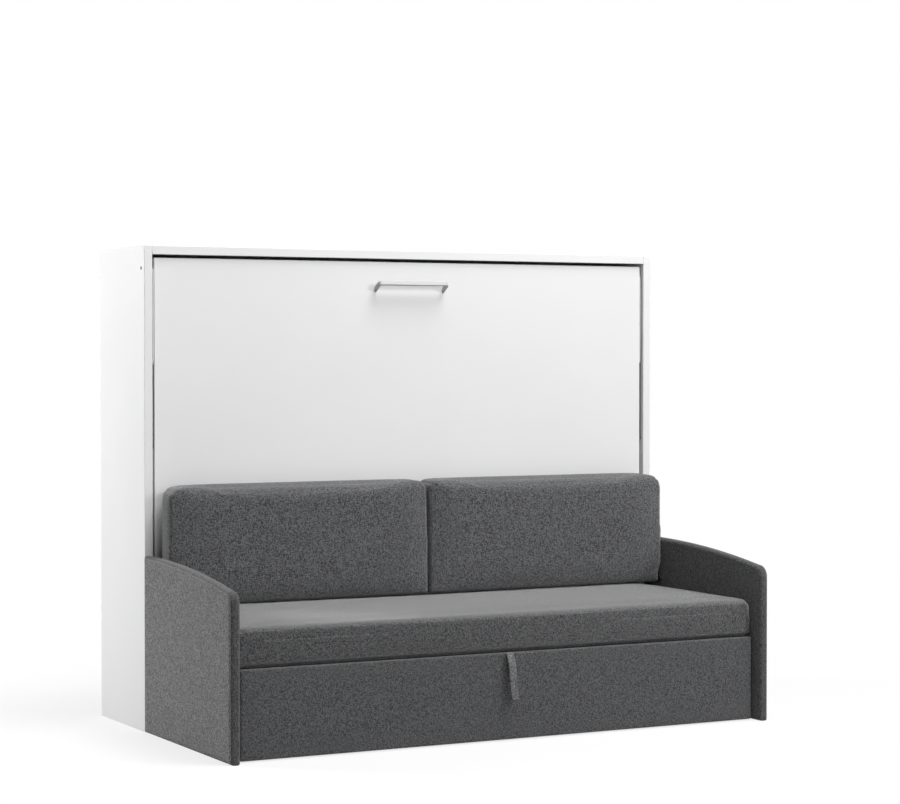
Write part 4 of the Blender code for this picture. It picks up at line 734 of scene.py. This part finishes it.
# Pull strap: a band of black webbing doubled to a loop and fixed under the cover at the top of the drawer's
# front. It bows forward and hangs slightly askew.
strap_weave = noisy(
    "strap_weave",
    tones=[(0.030, 0.030, 0.031), (0.225, 0.225, 0.229)],
    rough=(0.75, 0.9),
    relief=0.0004,
    layers=[((160, 420, 420), 0.5), ((420, 420, 160), 0.5)],
    sheen=0.3,
    spread=0.06,
)
panel_face, panel_top = -0.5835, 0.3015
share, bowed = np.linspace(0, 1, 61), 0.42
turned_share = np.minimum(share / bowed, 1) * math.pi / 2
strap_thin, strap_full, strap_wide, strap_drop = 0.0026, 0.0078, 0.027, 0.158
strap_bow, strap_askew, strap_gap = 0.0265, 0.010, 0.0003
lip = panel_face - strap_thin
out = lip - strap_bow + strap_full / 2
strap_y = lip + (out - lip) * np.sin(turned_share)
strap_z = panel_top + strap_gap + strap_thin / 2
strap_z = strap_z - strap_drop * (share * (1 - bowed) + (1 - np.cos(turned_share)) * bowed)
middle_path = np.stack([strap_askew * share - strap_askew / 2, strap_y, strap_z], -1)
along = np.gradient(middle_path, axis=0)
along /= np.linalg.norm(along, axis=1, keepdims=True)
ahead = np.cross(along, (1, 0, 0))
ahead *= np.sign(-ahead[:, 1:2] + 1e-9)
band = 0.0012
apart = (strap_thin + (strap_full - strap_thin) * share - band)[:, None] / 2
front_run = middle_path + ahead * apart
rear_run = middle_path - ahead * apart
turn = np.linspace(-math.pi / 2, math.pi / 2, 9)[1:-1, None]
fold = middle_path[-1] + along[-1] * np.cos(turn) * apart[-1] - ahead[-1] * np.sin(turn) * apart[-1]
path = np.concatenate([front_run, fold, rear_run[::-1]])
rings, strap_long = webbing(path, strap_wide, band, band * 0.45)
strap = new_piece("pull_strap_band", *ringed(rings), strap_weave, "drawer")
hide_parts("pull_strap")

# Castors: four wheels of hard rubber, each turning on the axle of a fork of dark steel. The forks are fixed
# under the corners of the drawer.
dress(dark_steel, *(f"castor_fork_{row}_{side}" for row in ("front", "rear") for side in ("left", "right")))
dress(rubber, *(f"castor_wheel_{row}_{side}" for row in ("front", "rear") for side in ("left", "right")))

# Studio: a white floor and white surroundings, lit by a broad lamp above, one at the rear left, one at the
# front right and one in front. The camera stands where the photograph was taken from.
floor_mesh = bpy.data.meshes.new("floor")
floor_mesh.from_pydata([(-30, -30, 0), (30, -30, 0), (30, 30, 0), (-30, 30, 0)], [], [(0, 1, 2, 3)])
floor = bpy.data.objects.new("floor", floor_mesh)
bpy.context.scene.collection.objects.link(floor)


def seen_directly(tree):
    """One where the camera, a mirror image or a view through glass looks, and nought for other light."""
    path = tree.nodes.new("ShaderNodeLightPath")
    total = None
    for name in ("Is Camera Ray", "Is Glossy Ray", "Is Transmission Ray"):
        if total is None:
            total = path.outputs[name]
            continue
        larger = tree.nodes.new("ShaderNodeMath")
        larger.operation = "MAXIMUM"
        tree.links.new(total, larger.inputs[0])
        tree.links.new(path.outputs[name], larger.inputs[1])
        total = larger.outputs["Value"]
    return total


floor_white = bpy.data.materials.new("floor_white")
floor_white.use_nodes = True
tree = floor_white.node_tree
shader = next(node for node in tree.nodes if node.type == "BSDF_PRINCIPLED")
shader.inputs["Base Color"].default_value = (0.30, 0.30, 0.30, 1)
shader.inputs["Roughness"].default_value = 0.9
shader.inputs["Specular IOR Level"].default_value = 0.1
glow = tree.nodes.new("ShaderNodeEmission")
bright = tree.nodes.new("ShaderNodeBsdfDiffuse")
bright.inputs["Color"].default_value = (0.85, 0.85, 0.85, 1)
lit = tree.nodes.new("ShaderNodeMixShader")
mixed = tree.nodes.new("ShaderNodeMixShader")
where = tree.nodes.new("ShaderNodeTexCoord")
reach = tree.nodes.new("ShaderNodeVectorMath")
reach.operation = "LENGTH"
fade = tree.nodes.new("ShaderNodeMapRange")
fade.interpolation_type = "SMOOTHSTEP"
fade.inputs["From Min"].default_value = 1.0
fade.inputs["From Max"].default_value = 2.8
fade.inputs["To Min"].default_value = 0.72
fade.inputs["To Max"].default_value = 1.0
tree.links.new(where.outputs["Object"], reach.inputs[0])
tree.links.new(reach.outputs["Value"], fade.inputs["Value"])
tree.links.new(fade.outputs["Result"], lit.inputs[0])
tree.links.new(bright.outputs["BSDF"], lit.inputs[1])
tree.links.new(glow.outputs["Emission"], lit.inputs[2])
output = next(node for node in tree.nodes if node.type == "OUTPUT_MATERIAL")
tree.links.new(seen_directly(tree), mixed.inputs[0])
tree.links.new(shader.outputs["BSDF"], mixed.inputs[1])
tree.links.new(lit.outputs["Shader"], mixed.inputs[2])
tree.links.new(mixed.outputs["Shader"], output.inputs["Surface"])
floor_mesh.materials.append(floor_white)

scene = bpy.context.scene
world = bpy.data.worlds.new("studio")
scene.world = world
world.use_nodes = True
tree = world.node_tree
tree.nodes.clear()
soft_light = tree.nodes.new("ShaderNodeBackground")
soft_light.inputs["Color"].default_value = (1, 1, 1, 1)
soft_light.inputs["Strength"].default_value = 0.11
white = tree.nodes.new("ShaderNodeBackground")
white.inputs["Color"].default_value = (1, 1, 1, 1)
mixed = tree.nodes.new("ShaderNodeMixShader")
output = tree.nodes.new("ShaderNodeOutputWorld")
tree.links.new(seen_directly(tree), mixed.inputs[0])
tree.links.new(soft_light.outputs["Background"], mixed.inputs[1])
tree.links.new(white.outputs["Background"], mixed.inputs[2])
tree.links.new(mixed.outputs["Shader"], output.inputs["Surface"])


def lamp(name, place, aim, size, power):
    """A square area lamp at a place, turned to face the aim."""
    light = bpy.data.lights.new(name, "AREA")
    light.size = size
    light.energy = power
    holder = bpy.data.objects.new(name, light)
    holder.location = place
    toward = np.subtract(aim, place)
    away = -toward / np.linalg.norm(toward)
    holder.rotation_euler = (math.acos(away[2]), 0, math.atan2(away[0], -away[1]))
    scene.collection.objects.link(holder)


lamp("lamp_above", place=(1.3, -2.0, 7.0), aim=(0.1, -0.3, 0.4), size=3.6, power=470)
lamp("lamp_left", place=(-4.6, 3.2, 2.6), aim=(-1.0, 0.2, 0.8), size=1.6, power=228)
lamp("lamp_right", place=(4.2, -5.4, 3.8), aim=(0.2, -0.4, 0.6), size=1.2, power=150)
lamp("lamp_front", place=(-1.4, -8.0, 2.4), aim=(0.0, 0.0, 0.8), size=3.0, power=116)

camera_dip, camera_turn = 1.170826, 27.76096
camera_data = bpy.data.cameras.new("camera")
camera_data.lens = 97.28
camera_data.sensor_width = 36
camera_data.clip_end = 100
camera = bpy.data.objects.new("camera", camera_data)
camera.location = (-4.0448, -7.8257, 1.3278)
camera.rotation_euler = (math.radians(90 - camera_dip), 0, math.radians(-camera_turn))
scene.collection.objects.link(camera)
scene.camera = camera
scene.view_settings.view_transform = "Standard"
